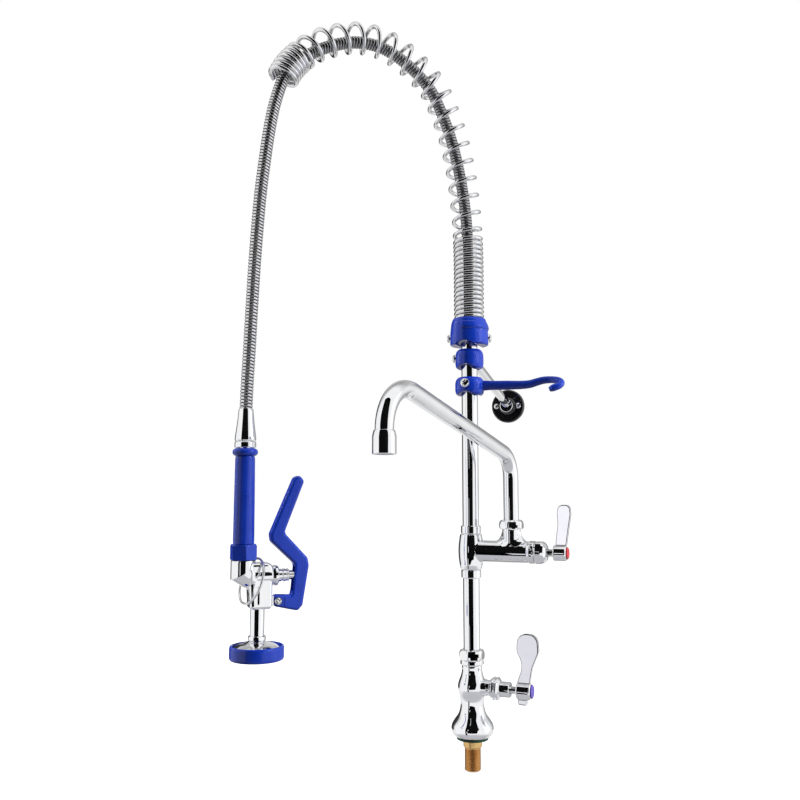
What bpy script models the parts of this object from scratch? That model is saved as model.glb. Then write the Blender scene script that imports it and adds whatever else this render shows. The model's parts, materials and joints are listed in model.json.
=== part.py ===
"""Wall-braced pre-rinse faucet: riser with spring gooseneck, add-on swing spout and spray valve.

Frame: the origin is the centre of the deck contact face, under the base gasket, on the riser's axis.
+Z is up, +X runs along the valve arms, +Y runs to the wall, and -Y faces the user.
All dimensions below are in millimetres. Each mesh is scaled to metres once, when its object is made.
The gooseneck, the hose and the spray valve lie in one vertical plane through the riser. They are built
in that plane's own frame: its X (called u) runs outward from the riser, its Y across the plane.
"""

import math

import bmesh
import bpy
from mathutils import Matrix, Vector

MM = 0.001
GAP = 0.3                     # clearance between neighbouring pieces
SHARP = math.radians(32)      # edges steeper than this stay sharp

GOOSENECK_TURN = -135.0       # degrees about +Z from +X to the gooseneck's plane

# Base and riser
PIPE_R = 10.65                # half-inch pipe, outside
PIPE_BORE = 8.4
SHANK_R = 10.3                # half-inch straight pipe thread, outside
SHANK_BOTTOM, SHANK_TOP = -38.0, 18.0
COLLAR_R = 11.9
GASKET_T = 2.5
BODY_TOP = 101.5
BASE_ARM_Z = 64.0
SOCKET_R = PIPE_R + GAP

# Add-on tee and spout
TEE_BOTTOM, TEE_TOP = 210.0, 255.3
ARM_Z = 234.0
ARM_R = 13.7
ARM_END = 84.6
SPOUT_X = 54.0                # the spout's swivel axis
SPOUT_R = 9.55
SPOUT_BORE = 7.6
SPOUT_TURN = -98.2            # degrees about +Z from +X to the spout
SPOUT_REACH = 302.5
SPOUT_FOOT, SPOUT_ELBOW, SPOUT_CREST, SPOUT_END = 250.0, 353.2, 427.1, 360.0

# Riser top
RISER_TOP = 506.0
HOOK_BOTTOM, HOOK_TOP = 435.0, 459.0
BRACKET_BOTTOM, BRACKET_TOP = 470.0, 496.0
RETAINER_BOTTOM, RETAINER_TOP = 501.0, 542.0
SCREW_SWING = 18.0            # degrees that the upper clamps' screws are turned about the riser

# Wall brace
STRUT_R = 6.25
STRUT_DROP = math.radians(15.0)
STRUT_PASS_Z = 488.0          # height at which the strut's axis line meets the riser's axis
WALL_Y = 187.0
FLANGE_Z = 437.6
FLANGE_R = 25.0
FLANGE_T = 6.0
FLANGE_SCREW_X = 16.8

# Spring and hose
WIRE_R = 2.7
WIRE_SIDES = 4
COIL_R = 17.4
SPRING_START, SPRING_CLOSE_END = 527.5, 641.0
CLOSE_PITCH, OPEN_PITCH = 6.1, 22.4
END_STACK = 34.0              # length of the closed turns at the free end
STEPS_PER_TURN = 8
HOSE_R = 7.75
SWAY_U, SWAY_Z = 253.5, 829.0           # hinge at the spring's free end, in the gooseneck's plane
SWAY_GAP = 2.2

# Spray valve, in the gooseneck's plane
GRIP_U = 295.0                # the hose swivel's axis
OUTLET_U = 277.4
INLET_R = 14.4
BONNET_Z = 212.2
TRIGGER_U, TRIGGER_Z = 254.6, 183.0
TRIGGER_W = 14.0
LUG_W = 8.0
BUMPER_R = 31.6


# --------------------------------------------------------------------------- scene and helpers

for leftover in list(bpy.data.objects):
    bpy.data.objects.remove(leftover, do_unlink=True)

COLLECTION = bpy.context.scene.collection


def finish(name, colour, roughness, metallic):
    """One Principled material."""
    material = bpy.data.materials.new(name)
    material.use_nodes = True
    shader = material.node_tree.nodes["Principled BSDF"]
    shader.inputs["Base Color"].default_value = (*colour, 1.0)
    shader.inputs["Roughness"].default_value = roughness
    shader.inputs["Metallic"].default_value = metallic
    material.diffuse_color = (*colour, 1.0)
    return material


CHROME = dict(colour=(0.80, 0.81, 0.83), roughness=0.08, metallic=1.0)
DARK_CHROME = dict(colour=(0.10, 0.10, 0.11), roughness=0.12, metallic=1.0)
BRASS = dict(colour=(0.62, 0.40, 0.16), roughness=0.32, metallic=1.0)
BLUE = dict(colour=(0.020, 0.055, 0.46), roughness=0.30, metallic=0.0)
RUBBER = dict(colour=(0.02, 0.07, 0.05), roughness=0.70, metallic=0.0)
RED = dict(colour=(0.60, 0.03, 0.04), roughness=0.30, metallic=0.0)
VIOLET = dict(colour=(0.14, 0.08, 0.55), roughness=0.30, metallic=0.0)
STEEL = dict(colour=(0.60, 0.60, 0.62), roughness=0.22, metallic=1.0)
HOSE_STEEL = dict(colour=(0.66, 0.66, 0.67), roughness=0.30, metallic=1.0)
WHITE_PLASTIC = dict(colour=(0.85, 0.85, 0.83), roughness=0.45, metallic=0.0)


def plane_frame(name, turn_degrees):
    """An empty at the origin whose X axis is turned about +Z."""
    empty = bpy.data.objects.new(name, None)
    empty.rotation_euler = (0.0, 0.0, math.radians(turn_degrees))
    empty.empty_display_size = 0.05
    COLLECTION.objects.link(empty)
    return empty


def to_object(name, bm, pivot, parent):
    """The finished mesh as an object with its origin at pivot, in its parent's frame."""
    bmesh.ops.remove_doubles(bm, verts=bm.verts, dist=1e-3)
    bmesh.ops.recalc_face_normals(bm, faces=bm.faces)
    bmesh.ops.translate(bm, verts=bm.verts, vec=-Vector(pivot))
    bmesh.ops.scale(bm, verts=bm.verts, vec=(MM, MM, MM))
    mesh = bpy.data.meshes.new(name)
    bm.to_mesh(mesh)
    bm.free()
    obj = bpy.data.objects.new(name, mesh)
    obj.location = Vector(pivot) * MM
    obj.parent = parent
    COLLECTION.objects.link(obj)
    return obj


def piece(name, bm, look, pivot=(0, 0, 0), parent=None):
    """One named sub-part with its own material."""
    obj = to_object(name, bm, pivot, parent)
    obj.data.materials.append(finish(name + "_finish", **look))
    obj.data.shade_smooth()
    obj.data.set_sharp_from_angle(angle=SHARP)
    return obj


def boolean(obj, bm, operation, parent=None):
    """Cuts obj with a hidden helper solid, or joins the helper to it."""
    number = len(obj.modifiers) + 1
    helper = to_object(f"{obj.name}_{operation.lower()}_{number}", bm, (0, 0, 0), parent)
    helper.hide_render = True
    helper.display_type = "WIRE"
    modifier = obj.modifiers.new(f"{operation.title()} {number}", "BOOLEAN")
    modifier.operation = operation
    modifier.solver = "EXACT"
    modifier.object = helper


def cut(obj, bm, parent=None):
    boolean(obj, bm, "DIFFERENCE", parent)


def join(obj, bm, parent=None):
    boolean(obj, bm, "UNION", parent)


def soften(obj, width, segments=2, angle=40):
    """Rounds the edges that are sharper than angle."""
    bevel = obj.modifiers.new("Rounded edges", "BEVEL")
    bevel.width = width * MM
    bevel.segments = segments
    bevel.limit_method = "ANGLE"
    bevel.angle_limit = math.radians(angle)


AXES = {
    "+Z": Matrix.Identity(4),
    "-Z": Matrix.Rotation(math.pi, 4, "X"),
    "+X": Matrix.Rotation(math.pi / 2, 4, "Y"),
    "-X": Matrix.Rotation(-math.pi / 2, 4, "Y"),
    "+Y": Matrix.Rotation(-math.pi / 2, 4, "X"),
    "-Y": Matrix.Rotation(math.pi / 2, 4, "X"),
}


def turned(profile, sides=16, axis="+Z", at=(0, 0, 0)):
    """A lathe piece. profile lists (radius, distance along the axis); it closes on itself if hollow."""
    bm = bmesh.new()
    points = [bm.verts.new((radius, 0.0, along)) for radius, along in profile]
    edges = [bm.edges.new(pair) for pair in zip(points, points[1:])]
    if profile[0][0] > 0:
        edges.append(bm.edges.new((points[-1], points[0])))
    bmesh.ops.spin(bm, geom=points + edges, cent=(0, 0, 0), axis=(0, 0, 1),
                   angle=math.tau, steps=sides, use_duplicate=False)
    bmesh.ops.remove_doubles(bm, verts=bm.verts, dist=1e-3)
    bmesh.ops.transform(bm, matrix=Matrix.Translation(at) @ AXES[axis], verts=bm.verts)
    return bm


def hexed(profile, flats, sides=24, axis="+Z", at=(0, 0, 0)):
    """As turned, with every radius held inside a hexagon this wide across its flats."""
    bm = turned(profile, sides)
    for vert in bm.verts:
        radius = math.hypot(vert.co.x, vert.co.y)
        if radius < 1e-6:
            continue
        angle = math.atan2(vert.co.y, vert.co.x)
        wedge = math.radians(30) - (angle + math.radians(30)) % math.radians(60)
        limit = 0.5 * flats / math.cos(wedge)
        if radius > limit:
            vert.co.x *= limit / radius
            vert.co.y *= limit / radius
    bmesh.ops.transform(bm, matrix=Matrix.Translation(at) @ AXES[axis], verts=bm.verts)
    return bm


def rod(radius, start, end, axis="+Z", at=(0, 0, 0), sides=16):
    """A plain cylinder along one axis."""
    return turned([(0, start), (radius, start), (radius, end), (0, end)], sides, axis, at)


def ring(inner, outer, start, end, axis="+Z", at=(0, 0, 0), sides=16):
    return turned([(inner, start), (outer, start), (outer, end), (inner, end)], sides, axis, at)


def block(low, high):
    """A box between two corners."""
    bm = bmesh.new()
    middle = (Vector(low) + Vector(high)) / 2
    size = Vector(high) - Vector(low)
    bmesh.ops.create_cube(bm, size=1.0, matrix=Matrix.Translation(middle) @ Matrix.Diagonal((*size, 1.0)))
    return bm


def rounded(corners):
    """A closed outline from (x, z, radius) corners; each true corner is turned into an arc."""
    slightest, per_step = math.radians(12), math.radians(24)
    outline = []
    count = len(corners)
    for index, (x, z, radius) in enumerate(corners):
        here = Vector((x, z))
        before = Vector(corners[index - 1][:2])
        after = Vector(corners[(index + 1) % count][:2])
        into = (before - here).normalized()
        out = (after - here).normalized()
        bend = math.pi - into.angle(out)
        if radius <= 0 or bend < slightest:
            outline.append(here)
            continue
        steps = math.ceil(bend / per_step)
        half = into.angle(out) / 2
        reach = radius / math.tan(half)
        centre = here + (into + out).normalized() * (radius / math.sin(half))
        first = here + into * reach - centre
        last = here + out * reach - centre
        sweep = first.angle_signed(last)
        for step in range(steps + 1):
            spoke = first.copy()
            spoke.rotate(Matrix.Rotation(-sweep * step / steps, 2))
            outline.append(centre + spoke)
    return outline


def slab(outline, back, front):
    """An outline in the XZ plane, extruded along Y from back to front."""
    bm = bmesh.new()
    face = bm.faces.new([bm.verts.new((x, back, z)) for x, z in outline])
    extruded = bmesh.ops.extrude_face_region(bm, geom=[face])
    moved = [item for item in extruded["geom"] if isinstance(item, bmesh.types.BMVert)]
    bmesh.ops.translate(bm, verts=moved, vec=(0, front - back, 0))
    return bm


def smooth_line(points, step):
    """Points about step apart on a smooth curve through the given ones."""
    ghost = [2 * points[0] - points[1]] + list(points) + [2 * points[-1] - points[-2]]
    dense = []
    for a, b, c, d in zip(ghost, ghost[1:], ghost[2:], ghost[3:]):
        for part in range(24):
            t = part / 24
            dense.append(0.5 * (2 * b + (c - a) * t + (2 * a - 5 * b + 4 * c - d) * t * t
                                + (3 * b - a - 3 * c + d) * t ** 3))
    dense.append(points[-1])
    lengths = [0.0]
    for a, b in zip(dense, dense[1:]):
        lengths.append(lengths[-1] + (b - a).length)
    count = max(2, round(lengths[-1] / step))
    line, index = [], 0
    for number in range(count + 1):
        wanted = lengths[-1] * number / count
        while index < len(dense) - 2 and lengths[index + 1] < wanted:
            index += 1
        share = (wanted - lengths[index]) / (lengths[index + 1] - lengths[index])
        line.append(dense[index].lerp(dense[index + 1], share))
    return line


def filleted(points, radii, steps=7):
    """Straight runs joined by arcs; radii holds one value for each inner point."""
    path = [points[0]]
    for before, here, after, radius in zip(points, points[1:], points[2:], radii):
        into = (before - here).normalized()
        out = (after - here).normalized()
        half = into.angle(out) / 2
        reach = radius / math.tan(half)
        centre = here + (into + out).normalized() * (radius / math.sin(half))
        first = here + into * reach - centre
        last = here + out * reach - centre
        normal = first.cross(last).normalized()
        sweep = first.angle(last)
        for step in range(steps + 1):
            path.append(centre + Matrix.Rotation(sweep * step / steps, 3, normal) @ first)
    path.append(points[-1])
    return path


def loops_to_solid(bm, outer, inner=None, closed=False):
    """Skins rings of points, and the bore's rings if there are any, and closes the ends."""
    def skin(rings):
        made = [[bm.verts.new(point) for point in ring_points] for ring_points in rings]
        pairs = list(zip(made, made[1:]))
        if closed:
            pairs.append((made[-1], made[0]))
        for low, high in pairs:
            for k in range(len(low)):
                n = (k + 1) % len(low)
                bm.faces.new((low[k], low[n], high[n], high[k]))
        return made

    outside = skin(outer)
    if closed:
        return
    if inner is None:
        bm.faces.new(outside[0])
        bm.faces.new(outside[-1])
        return
    inside = skin(inner)
    for end in (0, -1):
        for k in range(len(outside[end])):
            n = (k + 1) % len(outside[end])
            bm.faces.new((outside[end][k], outside[end][n], inside[end][n], inside[end][k]))


def swept(path, sizes, sides=16, across=None, bore=None, closed=False):
    """An elliptical section carried along a path. sizes gives (half width, half height) at each point."""
    outer, inner = [], []
    count = len(path)
    for index, point in enumerate(path):
        if closed:
            tangent = path[(index + 1) % count] - path[index - 1]
        else:
            tangent = path[min(index + 1, count - 1)] - path[max(index - 1, 0)]
        tangent.normalize()
        side = across if across is not None else tangent.cross(Vector((0, 0, 1))).normalized()
        up = side.cross(tangent).normalized()
        width, height = sizes[index] if isinstance(sizes, list) else sizes
        for rings, scale in ((outer, 1.0), (inner, (bore or 0) / width)):
            rings.append([point + side * (width * scale * math.cos(math.tau * k / sides))
                          + up * (height * scale * math.sin(math.tau * k / sides)) for k in range(sides)])
    bm = bmesh.new()
    loops_to_solid(bm, outer, inner if bore else None, closed)
    return bm


def in_plane(u, z, across=0.0):
    return Vector((u, across, z))


GOOSENECK = plane_frame("gooseneck_plane", GOOSENECK_TURN)
ACROSS = Vector((0, 1, 0))


# --------------------------------------------------------------------------- base

def lever(name, look_name, hub_start, hub_end, hub_r, arm_z, outline, thickness):
    """A quarter-turn lever: a blade and a tail on a hub that lies along +X."""
    stem_hole = 3.3
    cap_hole = 5.2
    cap_depth = hub_end - 8.6
    obj = piece(name, slab(outline, -thickness / 2, thickness / 2), look_name, (hub_start, 0, arm_z))
    soften(obj, 1.3, 1)
    hub = [(0, hub_start), (hub_r - 1.0, hub_start), (hub_r, hub_start + 1.0),
           (hub_r, hub_end - 2.2), (hub_r - 1.4, hub_end), (0, hub_end)]
    join(obj, turned(hub, 16, "+X", (0, 0, arm_z)))
    hole = [(0, hub_start - 2), (stem_hole, hub_start - 2), (stem_hole, cap_depth), (cap_hole, cap_depth),
            (cap_hole, hub_end + 2), (0, hub_end + 2)]
    cut(obj, turned(hole, 12, "+X", (0, 0, arm_z)))
    return obj


def valve_inside(prefix, arm_z, inner, stem_start, hub_start, hub_end, button_r, button_look):
    """The cartridge, stem, screw and index button that every quarter-turn valve holds."""
    at = (0, 0, arm_z)
    cartridge = [(5.3, inner), (8.2, inner), (8.2, inner + 10), (7.2, inner + 11), (7.2, stem_start - 0.6),
                 (5.3, stem_start - 0.6)]
    piece(f"{prefix}_cartridge", turned(cartridge, 12, "+X", at), BRASS, (inner, 0, arm_z))
    stem_r, neck_r, hole_r = 4.7, 3.0, 2.1
    neck_end = hub_end - 10.9
    stem = [(0, inner + 3), (stem_r, inner + 3), (stem_r, hub_start - GAP), (neck_r, hub_start - GAP),
            (neck_r, neck_end), (hole_r, neck_end), (hole_r, neck_end - 7), (0, neck_end - 7)]
    piece(f"{prefix}_stem", turned(stem, 12, "+X", at), STEEL, (hub_start, 0, arm_z))
    head = hub_end - 8.3
    screw = [(0, neck_end - 5.5), (1.7, neck_end - 5.5), (1.7, head), (4.6, head), (4.6, head + 2.4),
             (0, head + 2.4)]
    piece(f"{prefix}_screw", turned(screw, 8, "+X", at), STEEL, (head, 0, arm_z))
    button = [(0, hub_end - 4.8), (4.8, hub_end - 4.8), (4.8, hub_end + GAP), (button_r, hub_end + GAP),
              (button_r, hub_end + 1.2), (button_r - 1.2, hub_end + 2.0), (0, hub_end + 2.1)]
    piece(f"{prefix}_index_button", turned(button, 16, "+X", at), button_look, (hub_end, 0, arm_z))


def base():
    shank = [(7.4, SHANK_BOTTOM), (9.6, SHANK_BOTTOM), (SHANK_R, SHANK_BOTTOM + 1.4), (SHANK_R, SHANK_TOP),
             (7.4, SHANK_TOP)]
    piece("inlet_shank", turned(shank), BRASS)
    collar = [(SHANK_R + GAP, -9.7), (11.2, -9.7), (COLLAR_R, -8.6), (COLLAR_R, GASKET_T),
              (SHANK_R + GAP, GASKET_T)]
    piece("shank_collar", turned(collar), BRASS)
    piece("base_gasket", ring(COLLAR_R + 0.5, 20.0, 0.0, GASKET_T, sides=20), RUBBER)

    skirt = [(20.4, 2.8), (24.4, 5.4), (26.4, 9.0), (26.9, 13.0), (26.2, 17.5), (24.2, 21.4), (21.7, 25.0),
             (18.8, 29.0), (16.8, 33.0), (15.3, 39.0), (15.1, 45.0), (15.9, 51.0), (17.4, 57.5),
             (18.3, 64.0), (17.2, 70.2), (15.4, 75.0), (13.8, 79.5), (13.0, 85.0), (13.4, 89.8),
             (12.7, 90.6), (12.7, BODY_TOP)]
    waterway = [(7.9, BODY_TOP), (7.9, 21.0), (SHANK_R + GAP, 21.0), (SHANK_R + GAP, 2.8)]
    body = piece("base_body", turned(skirt + waterway, 18), CHROME)
    flare = [(0, 8.6), (15.4, 8.6), (13.6, 10.6), (11.6, 14.0), (10.4, 18.0), (9.9, 22.0),
             (9.9, 25.4), (0, 25.4)]
    boss = turned(flare, 16, "+X", (0, 0, BASE_ARM_Z))
    for vert in boss.verts:
        vert.co.y = max(-10.2, min(10.2, vert.co.y))
    join(body, boss)
    cut(body, rod(8.5, 0.0, 28.0, "+X", (0, 0, BASE_ARM_Z)))

    bonnet = [(5.1, 25.7), (12.2, 25.7), (14.4, 27.6), (14.4, 35.4), (12.4, 37.5), (9.65, 37.5),
              (9.65, 49.4), (9.0, 50.2), (5.1, 50.2)]
    piece("base_bonnet", turned(bonnet, 16, "+X", (0, 0, BASE_ARM_Z)), CHROME, (25.7, 0, BASE_ARM_Z))
    valve_inside("base_valve", BASE_ARM_Z, 8.6, 25.4, 58.5, 76.8, 8.25, VIOLET)
    blade = rounded([(60.0, 47.0, 2.5), (71.5, 47.0, 2.5), (73.5, 58.0, 2), (76.0, 74.0, 3),
                     (79.0, 92.0, 12), (87.4, 112.0, 9), (86.0, 134.0, 12), (59.8, 134.0, 12),
                     (58.4, 112.0, 9), (66.6, 95.0, 14), (59.2, 76.0, 3), (59.0, 58.0, 2)])
    lever("base_lever", CHROME, 58.5, 76.8, 10.0, BASE_ARM_Z, blade, 6.0)

    nut = [(SOCKET_R, 110.6), (12.6, 110.6), (14.8, 109.4), (16.3, 106.0), (16.6, 102.0), (16.0, 98.6),
           (14.6, 97.2), (15.0, 95.6), (15.0, 92.2), (14.2, 90.9), (13.1, 90.9), (13.1, 103.9),
           (SOCKET_R, 103.9)]
    piece("riser_coupling_nut", hexed(nut, 29.8), CHROME)
    piece("riser_packing", ring(8.6, 12.4, BODY_TOP + GAP, 103.6), RUBBER)
    piece("lower_riser", ring(PIPE_BORE, PIPE_R, 104.0, TEE_BOTTOM + 7.5), CHROME)


# --------------------------------------------------------------------------- add-on valve and spout

def add_on_valve():
    barrel = [(SOCKET_R, TEE_BOTTOM), (13.2, TEE_BOTTOM), (14.7, 216.0), (15.9, 224.0), (16.4, 233.0),
              (16.0, 242.0), (14.9, 250.0), (14.0, TEE_TOP), (SOCKET_R, TEE_TOP), (SOCKET_R, 248.0),
              (PIPE_BORE, 248.0), (PIPE_BORE, 218.0), (SOCKET_R, 218.0)]
    tee = piece("tee_body", turned(barrel, 16), CHROME)
    arm = [(0, 12.2), (17.2, 12.2), (15.0, 16.5), (ARM_R, 21.0), (ARM_R, 77.4), (14.6, 78.2),
           (14.6, ARM_END), (0, ARM_END)]
    arm_solid = turned(arm, 16, "+X", (0, 0, ARM_Z))
    for vert in arm_solid.verts:
        if vert.co.x < 21.0:
            vert.co.y = max(-12.6, min(12.6, vert.co.y))
    join(tee, arm_solid)
    boss = [(0, 236.0), (17.0, 236.0), (17.0, 245.6), (14.4, 248.6), (12.6, 252.4), (11.75, 257.0),
            (11.75, 262.0), (11.2, 262.6), (11.2, 269.6), (0, 269.6)]
    boss_solid = turned(boss, 16, "+Z", (SPOUT_X, 0, 0))
    for vert in boss_solid.verts:
        if vert.co.z < 250.0:
            vert.co.y = max(-12.0, min(12.0, vert.co.y))
    join(tee, boss_solid)
    cut(tee, rod(8.9, 0.0, ARM_END + 2, "+X", (0, 0, ARM_Z)))
    cut(tee, rod(SPOUT_R + GAP, ARM_Z, 272.0, "+Z", (SPOUT_X, 0, 0)))

    below = [(SOCKET_R, 199.5), (12.2, 199.5), (12.8, 200.3), (12.8, 209.0), (12.2, 209.7),
             (SOCKET_R, 209.7)]
    above = [(SOCKET_R, 255.6), (12.0, 255.6), (12.6, 256.4), (12.6, 265.6), (11.9, 266.4),
             (SOCKET_R, 266.4)]
    piece("tee_lower_collar", turned(below), CHROME)
    piece("tee_upper_collar", turned(above), CHROME)
    piece("upper_riser", ring(PIPE_BORE, PIPE_R, 248.6, RISER_TOP), CHROME)

    bonnet = [(5.1, 84.9), (13.6, 84.9), (14.5, 86.4), (14.5, 93.0), (12.8, 96.6), (9.6, 99.4),
              (7.0, 100.2), (5.1, 100.2)]
    piece("tee_bonnet", hexed(bonnet, 27.6, 24, "+X", (0, 0, ARM_Z)), CHROME, (84.9, 0, ARM_Z))
    valve_inside("tee_valve", ARM_Z, 66.0, 84.6, 107.8, 124.2, 7.3, RED)
    blade = rounded([(109.4, 229.0, 2), (122.0, 229.0, 2), (124.6, 246.0, 8), (127.4, 264.0, 30),
                     (130.4, 282.0, 12), (129.4, 293.6, 6), (114.4, 293.6, 7), (112.6, 283.0, 6),
                     (113.4, 270.0, 14), (110.4, 246.0, 20)])
    lever("tee_lever", CHROME, 107.8, 124.2, 9.8, ARM_Z, blade, 5.6)


def spout():
    turn = math.radians(SPOUT_TURN)
    along = Vector((math.cos(turn), math.sin(turn), 0))
    across = Vector((-math.sin(turn), math.cos(turn), 0))
    foot = Vector((SPOUT_X, 0, 0))
    up = Vector((0, 0, 1))
    tip = foot + along * SPOUT_REACH
    corners = [foot + up * SPOUT_FOOT, foot + up * SPOUT_ELBOW, tip + up * SPOUT_CREST, tip + up * SPOUT_END]
    path = filleted(corners, [34.0, 44.0], 5)
    piece("spout_tube", swept(path, (SPOUT_R, SPOUT_R), 12, across, SPOUT_BORE), CHROME, (SPOUT_X, 0, 300))

    nut = [(11.6, 262.9), (14.6, 262.9), (15.3, 264.2), (15.5, 268.0), (14.8, 271.6), (13.2, 273.8),
           (11.8, 274.4), (SPOUT_R + GAP, 274.4), (SPOUT_R + GAP, 270.0), (11.6, 270.0)]
    piece("spout_nut", hexed(nut, 29.6, 24, "+Z", (SPOUT_X, 0, 0)), CHROME, (SPOUT_X, 0, 268))
    piece("spout_washer", ring(7.6, 9.5, 246.6, 249.6, "+Z", (SPOUT_X, 0, 0)), RUBBER, (SPOUT_X, 0, 248))
    shell = [(SPOUT_R + GAP, 346.4), (11.3, 346.4), (12.1, 347.2), (12.1, 364.6), (11.2, 368.4),
             (10.6, 370.6), (SPOUT_R + GAP, 370.6)]
    piece("aerator_shell", turned(shell, 16, "+Z", tip), CHROME, (*tip.xy, 358))
    insert = [(0, 350.5), (2.0, 348.2), (9.3, 348.2), (9.3, 356.5), (6.0, 359.4), (0, 359.4)]
    piece("aerator_insert", turned(insert, 16, "+Z", tip), WHITE_PLASTIC, (*tip.xy, 352))


# --------------------------------------------------------------------------- clamps and wall brace

def clamp_collar(bottom, top, radius):
    """The barrel-shaped body of a riser clamp."""
    return [(SOCKET_R, bottom), (radius - 3.4, bottom), (radius - 0.9, bottom + 2.4),
            (radius, bottom + 7.0), (radius, top - 8.0), (radius - 1.4, top - 3.0), (radius - 4.4, top),
            (SOCKET_R, top)]


def arch(bottom, rise, back=30.0):
    """A cutter along Y that leaves an arched notch this high where the riser enters a clamp."""
    half_span, front = 12.4, -30.0
    radius = (half_span ** 2 + rise ** 2) / (2 * rise)
    return rod(radius, front, back, "+Y", (0, 0, bottom + rise - radius), 28)


def swung(bm, degrees):
    """The same mesh turned about the riser's axis."""
    bmesh.ops.transform(bm, matrix=Matrix.Rotation(math.radians(degrees), 4, "Z"), verts=bm.verts)
    return bm


def clamp_screw(name, axis, z, start, head_at, head_r, swing=0.0):
    """A domed screw whose point bears on the riser."""
    profile = [(0, start), (2.3, start), (2.3, head_at), (head_r, head_at), (head_r - 0.4, head_at + 1.7),
               (head_r * 0.62, head_at + 3.1), (0, head_at + 3.5)]
    turn = Matrix.Rotation(math.radians(swing), 4, "Z")
    seat = turn @ AXES[axis] @ Vector((0, 0, head_at)) + Vector((0, 0, z))
    piece(name, swung(turned(profile, 12, axis, (0, 0, z)), swing), STEEL, seat)


def hook():
    obj = piece("hook_arm", turned(clamp_collar(HOOK_BOTTOM, HOOK_TOP, 19.0), 16), BLUE)
    route = [Vector(point) for point in (
        (14.0, 0, 447.4), (24.0, 0, 447.4), (49.0, 0, 446.6), (70.0, 0, 446.0), (81.0, 0, 446.6),
        (90.0, 0, 448.8), (99.0, 0, 450.6), (110.0, -0.8, 450.6), (119.0, -3.6, 448.6),
        (123.4, -9.0, 444.8), (121.0, -13.8, 441.0), (115.4, -16.2, 438.6), (109.8, -16.2, 436.6))]
    path = smooth_line(route, 6.0)
    sizes = []
    for point in path:
        run = point.x if point.y > -0.5 else 120.0
        root = max(0.0, 1 - run / 30)
        taper = max(0.0, min(1.0, (110 - run) / 60))
        sizes.append((3.4, 3.2 + 2.4 * root + 2.0 * taper))
    sizes[-1] = (2.4, 2.4)
    join(obj, swept(path, sizes, 8))
    cut(obj, arch(HOOK_BOTTOM, 4.6))
    cut(obj, rod(2.7, -30.0, -8.0, "+Y", (0, 0, 450.0), 12))
    clamp_screw("hook_screw", "-Y", 450.0, PIPE_R + GAP, 19.4, 6.1)


def wall_brace():
    slope = Vector((0, math.cos(STRUT_DROP), -math.sin(STRUT_DROP)))
    pass_point = Vector((0, 0, STRUT_PASS_Z))
    tilt = Matrix.Translation(pass_point) @ Matrix.Rotation(-math.pi / 2 - STRUT_DROP, 4, "X")

    def along_strut(profile, sides=16):
        bm = turned(profile, sides)
        bmesh.ops.transform(bm, matrix=tilt, verts=bm.verts)
        return bm

    collar = piece("bracket_collar", turned(clamp_collar(BRACKET_BOTTOM, BRACKET_TOP, 18.6), 16), BLUE)
    cut(collar, arch(BRACKET_BOTTOM, 5.6, back=11.5))
    cut(collar, swung(rod(2.7, 8.0, 30.0, "-X", (0, 0, 484.0), 12), SCREW_SWING))
    join(collar, along_strut([(0, 14.2), (9.0, 14.2), (9.0, 22.6), (8.0, 24.0), (0, 24.0)]))
    cut(collar, along_strut([(0, 14.8), (STRUT_R + GAP, 14.8), (STRUT_R + GAP, 30), (0, 30)]))
    clamp_screw("bracket_screw", "-X", 484.0, PIPE_R + GAP, 19.2, 5.7, SCREW_SWING)

    strut_end = (WALL_Y - 4.4) / math.cos(STRUT_DROP)
    piece("brace_strut", along_strut([(0, 15.0), (5.4, 15.0), (STRUT_R, 16.0), (STRUT_R, strut_end - 1.0),
                                      (5.4, strut_end), (0, strut_end)]), CHROME, pass_point + slope * 15)
    back, face = WALL_Y, WALL_Y - FLANGE_T
    disc = [(0, back), (FLANGE_R - 0.6, back), (FLANGE_R, back - 0.8), (FLANGE_R, face + 1.6),
            (FLANGE_R - 1.6, face), (12.4, face), (11.5, face - 1.0), (11.5, face - 5.6),
            (10.7, face - 6.4), (0, face - 6.4)]
    hub = (0, 0, FLANGE_Z)
    flange = piece("wall_flange", turned(disc, 24, "+Y", hub), DARK_CHROME, (0, back, FLANGE_Z))
    reach = (WALL_Y - 4.0) / math.cos(STRUT_DROP)
    cut(flange, along_strut([(0, 150), (STRUT_R + GAP, 150), (STRUT_R + GAP, reach), (0, reach)]))
    for x in (-FLANGE_SCREW_X, FLANGE_SCREW_X):
        cut(flange, rod(2.5, face - 3, back + 3, "+Y", (x, 0, FLANGE_Z), 10))
    for name, x in (("left", -FLANGE_SCREW_X), ("right", FLANGE_SCREW_X)):
        screw = [(0, -back + GAP), (2.1, -back + GAP), (2.1, -face + GAP), (4.3, -face + GAP),
                 (4.0, -face + 1.6), (2.4, -face + 2.6), (0, -face + 2.8)]
        piece(f"flange_screw_{name}", turned(screw, 10, "-Y", (x, 0, FLANGE_Z)), STEEL, (x, face, FLANGE_Z))


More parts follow.
